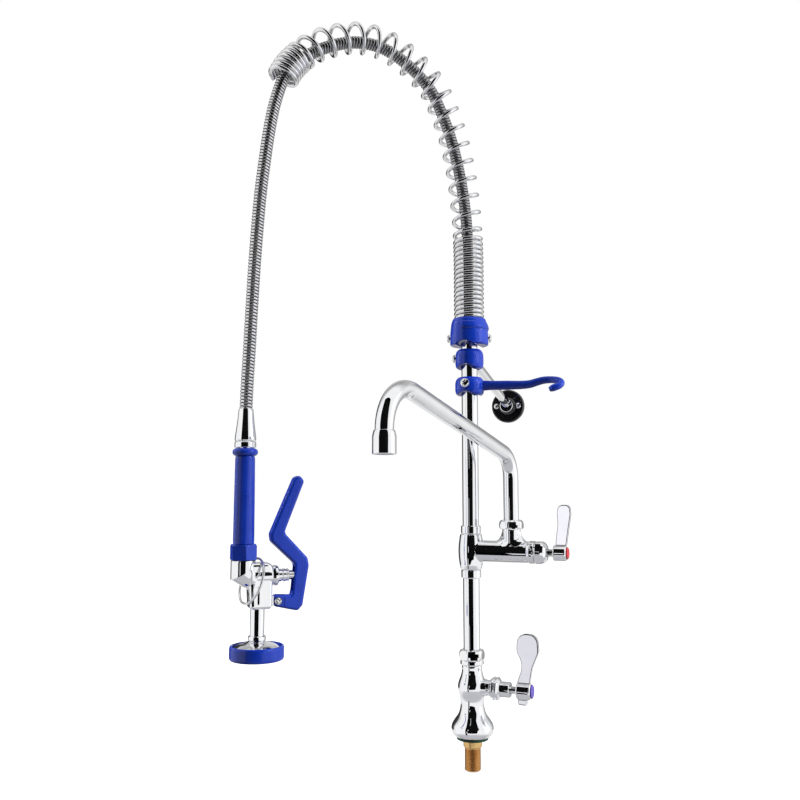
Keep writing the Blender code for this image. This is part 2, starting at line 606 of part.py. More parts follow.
def spring_retainer():
    profile = [(SOCKET_R, 501.0), (23.6, 501.0), (25.2, 502.6), (25.5, 508.0), (25.2, 520.0), (24.4, 523.0),
               (24.9, 527.0), (24.4, 533.0), (23.2, 538.0), (22.0, 541.0), (21.2, RETAINER_TOP),
               (20.6, RETAINER_TOP), (20.6, 524.0), (13.4, 524.0), (13.4, 506.3), (SOCKET_R, 506.3)]
    obj = piece("spring_retainer", turned(profile, 18), BLUE)
    cut(obj, arch(RETAINER_BOTTOM, 4.4))
    for axis in ("+X", "-X"):
        cut(obj, swung(rod(2.7, 11.0, 30.0, axis, (0, 0, 511.0), 12), SCREW_SWING))
    clamp_screw("retainer_screw_right", "+X", 511.0, 13.0, 26.4, 5.7, SCREW_SWING)
    clamp_screw("retainer_screw_left", "-X", 511.0, 13.0, 26.4, 5.7, SCREW_SWING)
    adapter = [(5.2, 494.0), (8.0, 494.0), (8.0, RISER_TOP + GAP), (12.6, RISER_TOP + GAP), (12.6, 521.0),
               (10.6, 523.0), (9.4, 524.0), (9.4, 544.0), (8.6, 545.0), (5.2, 545.0)]
    piece("hose_adapter", turned(adapter), STEEL)


# --------------------------------------------------------------------------- gooseneck

SPRING_AXIS = [in_plane(*point) for point in (
    (0, SPRING_START), (0, 570), (0, 614), (0.8, 647), (3.4, 685), (10.6, 738), (23.2, 789), (43.6, 837),
    (59.5, 858), (80, 874.5), (101.5, 887.5), (123.6, 895.5), (145, 897.5), (167, 895), (189, 887.2),
    (209.5, 877), (225, 865.6), (236, 855), (248, 840.5), (257, 824))]

HOSE_ROUTE = [in_plane(*point) for point in (
    (0, 545.3), (0, 590), (1.2, 640), (4.4, 685), (13.0, 737), (27.0, 788), (47.4, 833.5), (62.5, 853.5),
    (82, 870), (103, 882.5), (124, 890.3), (145, 892.2), (167, 889.2), (189, 881.2), (209.5, 870.6),
    (225, 859.6), (236, 849), (246.5, 838), (SWAY_U, SWAY_Z), (258.6, 817), (267.6, 784), (273.6, 748),
    (278.4, 709), (282.4, 671), (285.6, 626), (288.2, 580), (290.4, 530), (292.4, 478), (294.2, 437),
    (GRIP_U, 407.9))]


def spring():
    """One wire: closed turns on the riser, open turns over the arch and a closed stack at the free end."""
    axis = smooth_line(SPRING_AXIS, 1.0)
    step = sum((b - a).length for a, b in zip(axis, axis[1:])) / (len(axis) - 1)
    total = step * (len(axis) - 1)
    close_length = SPRING_CLOSE_END - SPRING_START
    blend = OPEN_PITCH

    def pitch(s):
        opening = min(max((s - close_length) / blend, 0.0), 1.0)
        closing = min(max((total - END_STACK - s) / blend, 0.0), 1.0)
        return CLOSE_PITCH + (OPEN_PITCH - CLOSE_PITCH) * min(opening, closing)

    wire, s, turn = [], 0.0, 0.0
    while s < total - 1e-6:
        index = min(int(s / step), len(axis) - 2)
        centre = axis[index].lerp(axis[index + 1], s / step - index)
        tangent = (axis[index + 1] - axis[index]).normalized()
        wire.append(centre + COIL_R * (ACROSS * math.cos(turn) + tangent.cross(ACROSS) * math.sin(turn)))
        s += pitch(s) / STEPS_PER_TURN
        turn += math.tau / STEPS_PER_TURN

    rings = []
    for index, point in enumerate(wire):
        tangent = wire[min(index + 1, len(wire) - 1)] - wire[max(index - 1, 0)]
        tangent.normalize()
        nearest = min(axis, key=lambda centre: (centre - point).length_squared)
        outward = (point - nearest)
        outward = (outward - tangent * outward.dot(tangent)).normalized()
        aside = tangent.cross(outward)
        around = [math.tau * k / WIRE_SIDES for k in range(WIRE_SIDES)]
        rings.append([point + WIRE_R * (outward * math.cos(a) + aside * math.sin(a)) for a in around])
    bm = bmesh.new()
    loops_to_solid(bm, rings)
    piece("overhead_spring", bm, STEEL, (0, 0, SPRING_START), GOOSENECK)


def hose_tube(name, route, pivot):
    """A plain round tube along the hose's route, as a curve with filled ends."""
    curve = bpy.data.curves.new(name, "CURVE")
    curve.dimensions = "3D"
    curve.bevel_depth = HOSE_R * MM
    curve.bevel_resolution = 2
    curve.use_fill_caps = True
    curve.resolution_u = 1
    spline = curve.splines.new("POLY")
    spline.points.add(len(route) - 1)
    for slot, point in zip(spline.points, route):
        slot.co = (*((point - Vector(pivot)) * MM), 1.0)
    curve.materials.append(finish(name + "_finish", **HOSE_STEEL))
    obj = bpy.data.objects.new(name, curve)
    obj.location = Vector(pivot) * MM
    obj.parent = GOOSENECK
    COLLECTION.objects.link(obj)


def hose():
    line = smooth_line(HOSE_ROUTE, 17.0)
    hinge = Vector((SWAY_U, 0, SWAY_Z))
    split = min(range(len(line)), key=lambda index: (line[index] - hinge).length)
    tangent = (line[split + 1] - line[split - 1]).normalized()
    upper = [p for p in line if (p - hinge).dot(tangent) < -6.0 or p.x < 200.0 and p.z < 840.0]
    lower = [p for p in line if p not in upper and (p - hinge).dot(tangent) > 6.0]
    hose_tube("hose_upper", upper + [hinge - tangent * SWAY_GAP], (0, 0, 545.3))
    hose_tube("hose_lower", [hinge + tangent * SWAY_GAP] + lower, (SWAY_U, 0, SWAY_Z))


# --------------------------------------------------------------------------- spray valve

def grip():
    at = (GRIP_U, 0, 0)
    pivot = (GRIP_U, 0, 361)
    ferrule = [(0, 407.4), (8.2, 407.4), (8.8, 405.0), (9.4, 398.0), (11.0, 384.0), (12.4, 374.0),
               (12.6, 370.4), (11.8, 368.6), (7.0, 368.6), (7.0, 352.0), (0, 352.0)]
    piece("hose_ferrule", turned(ferrule, 16, "+Z", at), CHROME, (GRIP_U, 0, 368), GOOSENECK)
    nut = [(7.4, 368.2), (12.1, 368.2), (12.7, 367.4), (12.7, 361.9), (12.1, 361.2), (7.4, 361.2)]
    piece("swivel_nut", turned(nut, 16, "+Z", at), CHROME, pivot, GOOSENECK)
    bead = []
    for number in range(7):
        angle = math.radians(90 - 180 * number / 6)
        bead.append((10.0 + 4.85 * math.cos(angle), 356.0 + 4.7 * math.sin(angle)))
    bead += [(7.4, 351.3), (7.4, 360.7)]
    piece("grip_stop_ring", turned(bead, 16, "+Z", at), BLUE, pivot, GOOSENECK)
    sleeve = [(7.6, 351.0), (11.2, 351.0), (11.55, 348.0), (12.0, 300.0), (12.35, 255.0), (12.1, 249.6),
              (7.6, 249.6)]
    piece("spray_grip", turned(sleeve, 16, "+Z", at), BLUE, pivot, GOOSENECK)
    lock = [(9.0, 249.3), (14.6, 249.3), (16.0, 247.6), (16.0, 232.6), (15.0, 231.4), (9.0, 231.4)]
    piece("grip_lock_nut", hexed(lock, 28.2, 24, "+Z", at), BLUE, pivot, GOOSENECK)


def valve_body():
    at = (GRIP_U, 0, 0)
    bend = math.radians(55)
    mitre = in_plane(GRIP_U, 216.6)
    slant = in_plane(-math.sin(bend), -math.cos(bend))
    elbow = [in_plane(GRIP_U, 231.1), mitre + in_plane(0, 7), mitre, mitre + slant * 7, mitre + slant * 21]
    widths = [(INLET_R, INLET_R), (INLET_R, INLET_R), (INLET_R, INLET_R / math.cos(bend / 2)),
              (13.6, INLET_R - 0.6), (10.8, 12.0)]
    obj = piece("spray_body", swept(elbow, widths, 16, ACROSS), CHROME, (GRIP_U, 0, 231), GOOSENECK)
    join(obj, turned([(0, 180.0), (11.6, 180.0), (11.6, 200.0), (0, 200.0)], 16, "+Z", (OUTLET_U, 0, 0)),
         GOOSENECK)
    chest = rounded([(262.0, 174.6, 2.5), (262.0, 228.0, 7), (292.0, 228.0, 4), (289.5, 203.0, 6),
                     (288.0, 174.6, 2.5)])
    body = slab(chest, -11.4, 11.4)
    bmesh.ops.remove_doubles(body, verts=body.verts, dist=1e-3)
    rims = [edge for edge in body.edges if edge.verts[0].co.y * edge.verts[1].co.y > 0]
    bmesh.ops.bevel(body, geom=rims, offset=4.5, segments=2, affect="EDGES", clamp_overlap=True)
    join(obj, body, GOOSENECK)
    join(obj, turned([(0, 261.9), (11.9, 261.9), (12.3, 262.6), (12.3, 284.0), (0, 284.0)], 16, "+X",
                     (0, 0, BONNET_Z)), GOOSENECK)
    join(obj, slab(rounded([(270, 177.4, 0), (252.0, 177.4, 4.6), (248.6, 183.0, 4.6), (252.0, 188.8, 4.6),
                            (270, 188.8, 0)]), -LUG_W / 2, LUG_W / 2), GOOSENECK)
    cut(obj, rod(9.0, 208.0, 235.0, "+Z", at), GOOSENECK)
    cut(obj, rod(8.6, 258.0, 295.0, "+X", (0, 0, BONNET_Z)), GOOSENECK)
    cut(obj, rod(8.7, 170.0, 212.0, "+Z", (OUTLET_U, 0, 0)), GOOSENECK)
    cut(obj, rod(2.4, -10.0, 10.0, "+Y", (TRIGGER_U, 0, TRIGGER_Z), 12), GOOSENECK)

    at_bonnet = (0, 0, BONNET_Z)
    bonnet = [(5.8, 241.6), (7.2, 241.6), (7.6, 242.0), (7.6, 243.0), (7.0, 243.6), (7.0, 244.6),
              (7.6, 245.2), (7.6, 248.2), (7.0, 248.8), (7.0, 249.8), (7.6, 250.4), (7.6, 254.6),
              (11.4, 254.6), (12.1, 255.6), (12.1, 258.4), (10.6, 261.6), (8.2, 261.6), (8.2, 270.0),
              (3.0, 270.0), (3.0, 267.0), (5.8, 267.0)]
    piece("valve_bonnet", turned(bonnet, 12, "+X", at_bonnet), CHROME, (254.6, 0, BONNET_Z), GOOSENECK)
    plunger = [(0, 231.9), (4.8, 231.9), (5.4, 232.5), (5.4, 252.0), (2.5, 252.0), (2.5, 276.0),
               (6.4, 276.0), (6.4, 278.6), (0, 278.6)]
    piece("valve_plunger", turned(plunger, 12, "+X", at_bonnet), STEEL, (252, 0, BONNET_Z), GOOSENECK)
    return_spring()


def return_spring():
    """The small compression spring round the plunger's neck, inside the bonnet."""
    start, length, coil_r, wire_r = 252.9, 13.2, 4.2, 0.5
    turns, steps, sides = 5, 6, 3
    centres, spokes = [], []
    for number in range(turns * steps + 1):
        angle = math.tau * number / steps
        spokes.append(Vector((0, math.cos(angle), math.sin(angle))))
        middle = Vector((start + length * number / (turns * steps), 0, BONNET_Z))
        centres.append(middle + spokes[-1] * coil_r)
    rings = []
    for index, (centre, spoke) in enumerate(zip(centres, spokes)):
        ahead, behind = centres[min(index + 1, turns * steps)], centres[max(index - 1, 0)]
        aside = (ahead - behind).normalized().cross(spoke)
        around = [math.tau * k / sides for k in range(sides)]
        rings.append([centre + wire_r * (spoke * math.cos(a) + aside * math.sin(a)) for a in around])
    bm = bmesh.new()
    loops_to_solid(bm, rings)
    piece("valve_return_spring", bm, STEEL, (start + length, 0, BONNET_Z), GOOSENECK)


def trigger():
    outline = rounded([(259.6, 177.0, 2.4), (230.4, 170.4, 5), (224.6, 176.8, 4), (217.4, 222.6, 2),
                       (219.0, 231.8, 5), (247.6, 261.8, 5), (224.2, 322.6, 3), (230.4, 330.0, 4),
                       (237.0, 326.4, 3), (265.0, 260.4, 4), (263.6, 251.6, 4), (235.2, 225.2, 5),
                       (238.6, 189.6, 1.5), (259.6, 190.4, 2.4)])
    obj = piece("trigger_lever", slab(outline, -TRIGGER_W / 2, TRIGGER_W / 2), BLUE,
                (TRIGGER_U, 0, TRIGGER_Z), GOOSENECK)
    soften(obj, 1.4, 1)
    slot = LUG_W / 2 + 0.4
    cut(obj, block((246.8, -slot, 165), (268, slot, 195)), GOOSENECK)
    cut(obj, block((231.4, -5.9, 193.5), (246.0, 5.9, 222.5)), GOOSENECK)
    cut(obj, rod(2.4, -10.0, 10.0, "+Y", (TRIGGER_U, 0, TRIGGER_Z), 12), GOOSENECK)
    pin = [(0, -7.0), (2.0, -7.0), (2.0, 7.4), (4.3, 7.4), (4.0, 8.8), (2.6, 9.5), (0, 9.6)]
    piece("trigger_pin", turned(pin, 12, "+Y", (TRIGGER_U, 0, TRIGGER_Z)), STEEL,
          (TRIGGER_U, 0, TRIGGER_Z), GOOSENECK)


def hold_ring():
    """The wire ring that holds the trigger squeezed. It hangs aslant around the valve body."""
    centre = in_plane(285.2, 206.8, 1.0)
    lean, twist = math.radians(19.0), math.radians(12.0)
    ring_r, wire_r, steps = 26.7, 1.4, 24
    slope = Vector((-math.sin(lean), 0, math.cos(lean)))
    aside = (ACROSS * math.cos(twist) + slope.cross(ACROSS) * math.sin(twist)).normalized()
    path = []
    for number in range(steps):
        angle = math.tau * number / steps
        path.append(centre + ring_r * (slope * math.cos(angle) + aside * math.sin(angle)))
    normal = slope.cross(aside).normalized()
    piece("hold_ring", swept(path, (wire_r, wire_r), 6, normal, closed=True), STEEL, centre, GOOSENECK)


def spray_head():
    at = (OUTLET_U, 0, 0)
    pivot = (OUTLET_U, 0, 140)
    tube = [(6.2, 139.0), (8.0, 139.0), (8.4, 139.6), (8.4, 192.0), (6.2, 192.0)]
    piece("outlet_tube", turned(tube, 16, "+Z", at), CHROME, pivot, GOOSENECK)
    nut = [(8.7, 139.0), (9.6, 139.0), (10.4, 140.0), (10.4, 143.4), (9.6, 144.4), (8.7, 144.4)]
    piece("nozzle_nut", turned(nut, 16, "+Z", at), CHROME, pivot, GOOSENECK)
    bell = [(6.2, 138.7), (9.4, 138.7), (11.4, 137.4), (15.6, 136.0), (21.0, 134.6), (25.6, 131.8),
            (28.0, 128.4), (28.0, 121.6), (25.6, 121.6), (25.6, 127.8), (22.0, 130.8), (13.0, 132.8),
            (6.2, 133.6)]
    piece("spray_bell", turned(bell, 20, "+Z", at), CHROME, pivot, GOOSENECK)
    face = piece("spray_face", rod(25.3, 119.4, 122.0, "+Z", at, 20), STEEL, pivot, GOOSENECK)
    for number in range(8):
        angle = math.tau * (number + 0.3) / 8
        hole = (OUTLET_U + 15.5 * math.cos(angle), 15.5 * math.sin(angle), 0)
        cut(face, rod(1.6, 117.0, 125.0, "+Z", hole, 8), GOOSENECK)
    bumper = [(28.3, 132.6), (29.8, 133.7), (31.0, 133.0), (BUMPER_R, 131.0), (BUMPER_R, 120.2),
              (31.0, 118.0), (29.8, 117.3), (27.0, 117.3), (25.8, 118.4), (25.8, 121.3), (28.3, 121.3)]
    piece("spray_bumper", turned(bumper, 20, "+Z", at), BLUE, pivot, GOOSENECK)


base()
add_on_valve()
spout()
hook()
wall_brace()
spring_retainer()
spring()
hose()
grip()
valve_body()
trigger()
hold_ring()
spray_head()
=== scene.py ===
"""The looks of the wall-braced pre-rinse faucet: fine surfaces, finishes, hose, studio and camera.

Frame, as in the CAD: the origin is the centre of the deck contact face on the riser's axis, +Z is up,
+X runs along the valve arms, +Y to the wall and -Y to the user. Shapes are written in millimetres and
become metres once, in shown() and hose(). The gooseneck, its hose and the spray valve are written in
their own upright plane, whose X (called u) runs outward from the riser.
"""

import json
import math

import bmesh
import bpy
from mathutils import Matrix, Vector
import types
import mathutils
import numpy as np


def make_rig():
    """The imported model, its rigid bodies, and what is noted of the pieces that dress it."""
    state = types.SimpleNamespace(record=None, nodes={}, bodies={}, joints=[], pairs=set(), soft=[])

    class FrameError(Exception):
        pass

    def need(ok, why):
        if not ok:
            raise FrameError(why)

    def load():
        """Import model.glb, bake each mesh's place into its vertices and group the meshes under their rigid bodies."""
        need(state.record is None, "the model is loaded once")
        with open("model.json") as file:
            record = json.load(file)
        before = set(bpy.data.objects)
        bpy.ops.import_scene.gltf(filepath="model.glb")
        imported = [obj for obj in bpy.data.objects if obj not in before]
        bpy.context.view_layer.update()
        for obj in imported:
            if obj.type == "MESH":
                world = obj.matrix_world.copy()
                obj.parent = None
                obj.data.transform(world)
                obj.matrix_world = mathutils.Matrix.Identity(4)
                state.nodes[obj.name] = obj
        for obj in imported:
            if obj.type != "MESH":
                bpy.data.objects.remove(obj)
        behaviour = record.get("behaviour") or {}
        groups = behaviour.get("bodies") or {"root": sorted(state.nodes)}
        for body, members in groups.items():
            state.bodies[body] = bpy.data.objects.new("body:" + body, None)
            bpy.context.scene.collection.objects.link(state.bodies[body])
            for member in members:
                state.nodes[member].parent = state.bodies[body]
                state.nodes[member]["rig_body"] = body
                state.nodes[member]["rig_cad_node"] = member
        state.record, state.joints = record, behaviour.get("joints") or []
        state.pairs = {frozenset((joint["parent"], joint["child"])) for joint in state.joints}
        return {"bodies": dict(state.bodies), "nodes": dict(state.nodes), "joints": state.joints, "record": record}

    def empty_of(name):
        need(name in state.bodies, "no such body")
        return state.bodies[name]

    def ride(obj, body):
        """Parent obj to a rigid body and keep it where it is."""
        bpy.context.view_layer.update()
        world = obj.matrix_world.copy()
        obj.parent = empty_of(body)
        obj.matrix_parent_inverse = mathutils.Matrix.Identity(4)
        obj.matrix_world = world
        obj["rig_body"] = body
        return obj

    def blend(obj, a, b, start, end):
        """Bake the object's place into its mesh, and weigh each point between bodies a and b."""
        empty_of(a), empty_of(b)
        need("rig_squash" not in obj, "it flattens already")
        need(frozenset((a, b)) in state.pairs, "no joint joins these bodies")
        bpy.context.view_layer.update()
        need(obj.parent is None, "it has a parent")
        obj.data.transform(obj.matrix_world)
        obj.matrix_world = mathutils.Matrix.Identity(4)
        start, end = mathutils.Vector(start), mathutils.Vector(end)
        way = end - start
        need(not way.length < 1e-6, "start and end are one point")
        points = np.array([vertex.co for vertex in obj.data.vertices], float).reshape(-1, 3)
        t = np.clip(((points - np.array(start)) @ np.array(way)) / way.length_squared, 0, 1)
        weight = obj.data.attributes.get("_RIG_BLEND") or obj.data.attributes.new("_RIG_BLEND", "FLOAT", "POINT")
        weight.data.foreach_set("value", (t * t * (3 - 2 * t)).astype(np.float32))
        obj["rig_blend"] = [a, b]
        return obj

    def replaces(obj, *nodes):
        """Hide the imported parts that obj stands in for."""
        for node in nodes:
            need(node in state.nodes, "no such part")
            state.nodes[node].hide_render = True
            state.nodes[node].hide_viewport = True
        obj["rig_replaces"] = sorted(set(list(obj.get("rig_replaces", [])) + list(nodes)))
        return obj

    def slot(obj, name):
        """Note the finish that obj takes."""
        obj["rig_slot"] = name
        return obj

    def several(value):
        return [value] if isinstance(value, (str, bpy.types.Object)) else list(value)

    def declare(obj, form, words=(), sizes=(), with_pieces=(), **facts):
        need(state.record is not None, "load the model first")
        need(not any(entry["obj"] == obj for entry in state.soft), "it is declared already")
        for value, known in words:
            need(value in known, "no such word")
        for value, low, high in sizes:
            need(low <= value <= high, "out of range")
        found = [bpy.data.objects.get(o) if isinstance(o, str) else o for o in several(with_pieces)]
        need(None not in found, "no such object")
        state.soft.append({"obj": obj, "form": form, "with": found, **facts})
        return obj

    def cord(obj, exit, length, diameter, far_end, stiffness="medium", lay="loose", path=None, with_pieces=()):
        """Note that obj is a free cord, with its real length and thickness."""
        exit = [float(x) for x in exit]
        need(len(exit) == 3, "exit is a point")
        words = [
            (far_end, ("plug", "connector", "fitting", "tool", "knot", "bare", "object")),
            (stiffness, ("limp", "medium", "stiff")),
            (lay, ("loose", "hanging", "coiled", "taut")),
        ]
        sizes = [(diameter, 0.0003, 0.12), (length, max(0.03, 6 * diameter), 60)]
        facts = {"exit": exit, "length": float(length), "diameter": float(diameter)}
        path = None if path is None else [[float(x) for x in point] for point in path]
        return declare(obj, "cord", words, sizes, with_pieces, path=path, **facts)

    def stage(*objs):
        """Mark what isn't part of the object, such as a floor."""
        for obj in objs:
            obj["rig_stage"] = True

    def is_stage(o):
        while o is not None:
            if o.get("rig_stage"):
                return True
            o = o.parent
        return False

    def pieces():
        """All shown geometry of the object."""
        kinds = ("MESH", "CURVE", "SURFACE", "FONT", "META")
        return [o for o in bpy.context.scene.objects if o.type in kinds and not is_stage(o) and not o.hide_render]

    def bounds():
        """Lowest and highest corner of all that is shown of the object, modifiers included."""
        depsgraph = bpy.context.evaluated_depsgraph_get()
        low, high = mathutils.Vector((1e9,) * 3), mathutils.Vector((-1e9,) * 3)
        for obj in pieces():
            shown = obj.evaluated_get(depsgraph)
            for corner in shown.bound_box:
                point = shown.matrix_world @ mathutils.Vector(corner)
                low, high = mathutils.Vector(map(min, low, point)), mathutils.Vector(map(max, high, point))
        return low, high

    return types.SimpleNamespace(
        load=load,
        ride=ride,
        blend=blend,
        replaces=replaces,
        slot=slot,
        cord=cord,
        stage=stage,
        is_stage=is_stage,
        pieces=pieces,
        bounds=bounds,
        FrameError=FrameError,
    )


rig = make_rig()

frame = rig.load()
cad_low, cad_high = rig.bounds()

MM = 0.001
NODE_SLOT = {row["node"]: row["material_slot"] for row in frame["record"]["subparts"]}
NODE_BODY = {node: body for body, nodes in frame["record"]["behaviour"]["bodies"].items()
             for node in nodes}
COLLECTION = bpy.context.scene.collection

GOOSENECK = Matrix.Rotation(math.radians(-135.0), 4, "Z")
ACROSS = Vector((0, 1, 0))
UP = Vector((0, 0, 1))
LYING = {"+Z": Matrix.Identity(4),
         "-Z": Matrix.Rotation(math.pi, 4, "X"),
         "+X": Matrix.Rotation(math.pi / 2, 4, "Y"),
         "-X": Matrix.Rotation(-math.pi / 2, 4, "Y"),
         "+Y": Matrix.Rotation(-math.pi / 2, 4, "X"),
         "-Y": Matrix.Rotation(math.pi / 2, 4, "X")}


# ---- camera and studio

CAMERA_AT = Vector((0.34977, -1.05857, 0.3126))
CAMERA_LOOK = Vector((-0.38858, 0.91546, 0.10453))
CAMERA_LENS = 38.25
FLOOR_Z = -0.040
LAMPS_AIM_AT = Vector((-0.05, 0.0, 0.4))
DULL_AMBIENT = 0.17        # how strongly the room lights dull surfaces
CARD_Y = -1.10
CARD_OUTLINE = ((-0.42, -0.62), (-0.20, -0.62), (-0.20, -0.24), (1.00, -0.24), (1.10, 0.02), (1.30, 0.30),
    (1.60, 0.60), (1.60, 2.90), (-1.15, 2.90), (-0.70, 2.00), (-0.50, 1.25), (-0.42, 0.50))
PALE_CARDS = (((-0.262, -0.175), (-0.26, -0.03), (0.83, 0.82, 0.88)),
              ((-0.156, -0.084), (0.12, 0.29), (1.05, 1.04, 1.10)))        # x range, z range and glow
BRIGHT_CARD_X = 1.9
BRIGHT_CARD_OUTLINE = ((-0.05, -0.3), (1.2, -0.3), (1.2, 1.5), (-0.05, 1.5))


def camera():
    """The camera at the viewing angle that the looks were made for."""
    data = bpy.data.cameras.new("camera")
    data.lens = CAMERA_LENS
    data.sensor_width = 36.0
    data.clip_start, data.clip_end = 0.02, 60.0
    obj = bpy.data.objects.new("camera", data)
    obj.location = CAMERA_AT
    obj.rotation_euler = CAMERA_LOOK.to_track_quat("-Z", "Y").to_euler()
    COLLECTION.objects.link(obj)
    bpy.context.scene.camera = obj


def feed(tree, value, socket):
    """Links another node's socket to this one, or sets a plain value on it."""
    if isinstance(value, bpy.types.NodeSocket):
        tree.links.new(value, socket)
    else:
        socket.default_value = value


def number(tree, operation, *values):
    """A Math node."""
    node = tree.nodes.new("ShaderNodeMath")
    node.operation = operation
    for value, socket in zip(values, node.inputs):
        feed(tree, value, socket)
    return node.outputs[0]


def mixed(tree, share, first, second, blend="MIX"):
    """A mix of two colours."""
    node = tree.nodes.new("ShaderNodeMix")
    node.data_type = "RGBA"
    node.blend_type = blend
    for value, name in ((share, "Factor"), (first, "A"), (second, "B")):
        feed(tree, value, node.inputs[name])
    return node.outputs["Result"]


def ramp(tree, value, stops):
    """Grey or coloured stops along 0 to 1."""
    node = tree.nodes.new("ShaderNodeValToRGB")
    tree.links.new(value, node.inputs[0])
    band = node.color_ramp
    while len(band.elements) < len(stops):
        band.elements.new(0.5)
    for element, (position, colour) in zip(band.elements, stops):
        element.position = position
        shade = colour if isinstance(colour, tuple) else (colour, colour, colour)
        element.color = (*shade, 1.0)
    return node.outputs[0]


def studio():
    """A room that mirrors show, white but for grey behind the faucet, and weak light for dull surfaces."""
    world = bpy.data.worlds.new("studio")
    world.use_nodes = True
    bpy.context.scene.world = world
    tree = world.node_tree
    tree.nodes.clear()
    place = tree.nodes.new("ShaderNodeTexCoord").outputs["Generated"]

    def along(direction):
        node = tree.nodes.new("ShaderNodeVectorMath")
        node.operation = "DOT_PRODUCT"
        tree.links.new(place, node.inputs[0])
        node.inputs[1].default_value = direction
        return node.outputs["Value"]

    back = Vector((CAMERA_AT.x, CAMERA_AT.y, 0)).normalized()
    aside = Vector((back.y, -back.x, 0))
    azimuth = number(tree, "ARCTAN2", along(aside), along(back))
    turn = number(tree, "ADD", number(tree, "DIVIDE", azimuth, math.tau), 0.5)
    height = number(tree, "ARCSINE", along(UP))
    band = number(tree, "ADD", number(tree, "DIVIDE", height, math.pi), 0.5)
    in_front = ramp(tree, band, ((0.0, (0.50, 0.50, 0.53)), (0.30, (0.54, 0.54, 0.58)),
        (0.335, (0.60, 0.60, 0.63)), (0.36, 1.0), (1.0, 1.0)))
    behind = ramp(tree, band, ((0.0, 0.62), (0.150, 0.60), (0.160, 0.10), (0.205, 0.10), (0.220, 0.66),
        (0.333, 0.84), (0.444, 0.95), (0.611, 0.90), (0.694, 0.55), (0.833, 0.36), (0.917, 0.50),
        (0.978, 0.95)))
    upright = ramp(tree, band, ((0.0, 0.0), (0.41, 0.0), (0.43, 1.0), (0.64, 1.0), (0.68, 0.0)))
    strips = ramp(tree, turn, ((0.0, 0.90), (0.042, 0.34), (0.11, 0.40), (0.16, 1.0), (0.81, 1.0),
        (0.85, 0.05), (0.93, 0.03), (0.97, 0.70), (1.0, 0.90)))
    depth = number(tree, "MULTIPLY_ADD", along(back), -0.5, 0.5)
    share = ramp(tree, depth, ((0.0, 0.0), (0.56, 0.0), (0.72, 1.0)))
    room = mixed(tree, share, in_front, mixed(tree, upright, behind, strips, "MULTIPLY"))

    def lit(colour, strength):
        node = tree.nodes.new("ShaderNodeBackground")
        node.inputs["Strength"].default_value = strength
        feed(tree, colour, node.inputs["Color"])
        return node.outputs[0]

    def chosen(share, first, second):
        node = tree.nodes.new("ShaderNodeMixShader")
        for socket, source in zip(node.inputs, (share, first, second)):
            tree.links.new(source, socket)
        return node.outputs[0]

    ray = tree.nodes.new("ShaderNodeLightPath").outputs
    seen = chosen(ray["Is Diffuse Ray"], lit(room, 1.0), lit((1, 1, 1, 1), DULL_AMBIENT))
    seen = chosen(ray["Is Camera Ray"], seen, lit((1, 1, 1, 1), 1.0))
    tree.links.new(seen, tree.nodes.new("ShaderNodeOutputWorld").inputs["Surface"])


def softbox(name, at, size, power):
    """A soft lamp that shades dull surfaces and stays out of the mirror-bright ones."""
    data = bpy.data.lights.new(name, "AREA")
    data.shape = "RECTANGLE"
    data.size, data.size_y = size
    data.energy = power
    obj = bpy.data.objects.new(name, data)
    obj.location = at
    obj.rotation_euler = (LAMPS_AIM_AT - Vector(at)).to_track_quat("-Z", "Y").to_euler()
    obj.visible_camera = False
    obj.visible_glossy = False
    COLLECTION.objects.link(obj)


def flat_paint(name, colour, glow=(0, 0, 0)):
    material = bpy.data.materials.new(name)
    material.use_nodes = True
    shader = material.node_tree.nodes["Principled BSDF"]
    shader.inputs["Base Color"].default_value = (colour, colour, colour, 1)
    shader.inputs["Roughness"].default_value = 0.9
    shader.inputs["Specular IOR Level"].default_value = 0.0
    shader.inputs["Emission Color"].default_value = (*glow, 1)
    shader.inputs["Emission Strength"].default_value = 1.0
    return material


def pale_floor():
    """A white floor that glows a little less under the faucet, so that a soft shadow shows only there."""
    bm = bmesh.new()
    bmesh.ops.create_circle(bm, cap_ends=True, segments=96, radius=14.0)
    mesh = bpy.data.meshes.new("floor")
    bm.to_mesh(mesh)
    bm.free()
    floor = bpy.data.objects.new("floor", mesh)
    floor.location = (0, 0, FLOOR_Z)
    floor.visible_glossy = False
    floor.visible_diffuse = False
    COLLECTION.objects.link(floor)
    paint = flat_paint("floor_paint", 0.40, (1, 1, 1))
    tree = paint.node_tree
    away = tree.nodes.new("ShaderNodeVectorMath")
    away.operation = "LENGTH"
    tree.links.new(tree.nodes.new("ShaderNodeTexCoord").outputs["Object"], away.inputs[0])
    glow = ramp(tree, away.outputs["Value"], ((0.10, 0.84), (0.70, 1.0)))
    tree.links.new(glow, tree.nodes["Principled BSDF"].inputs["Emission Strength"])
    mesh.materials.append(paint)
    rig.stage(floor)


def card(name, corners, paint):
    """A flat card beside the camera or the faucet, which only mirror-bright surfaces show."""
    mesh = bpy.data.meshes.new(name)
    mesh.from_pydata(corners, [], [list(range(len(corners)))])
    mesh.materials.append(paint)
    obj = bpy.data.objects.new(name, mesh)
    obj.visible_camera = False
    obj.visible_diffuse = False
    obj.visible_shadow = False
    COLLECTION.objects.link(obj)
    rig.stage(obj)


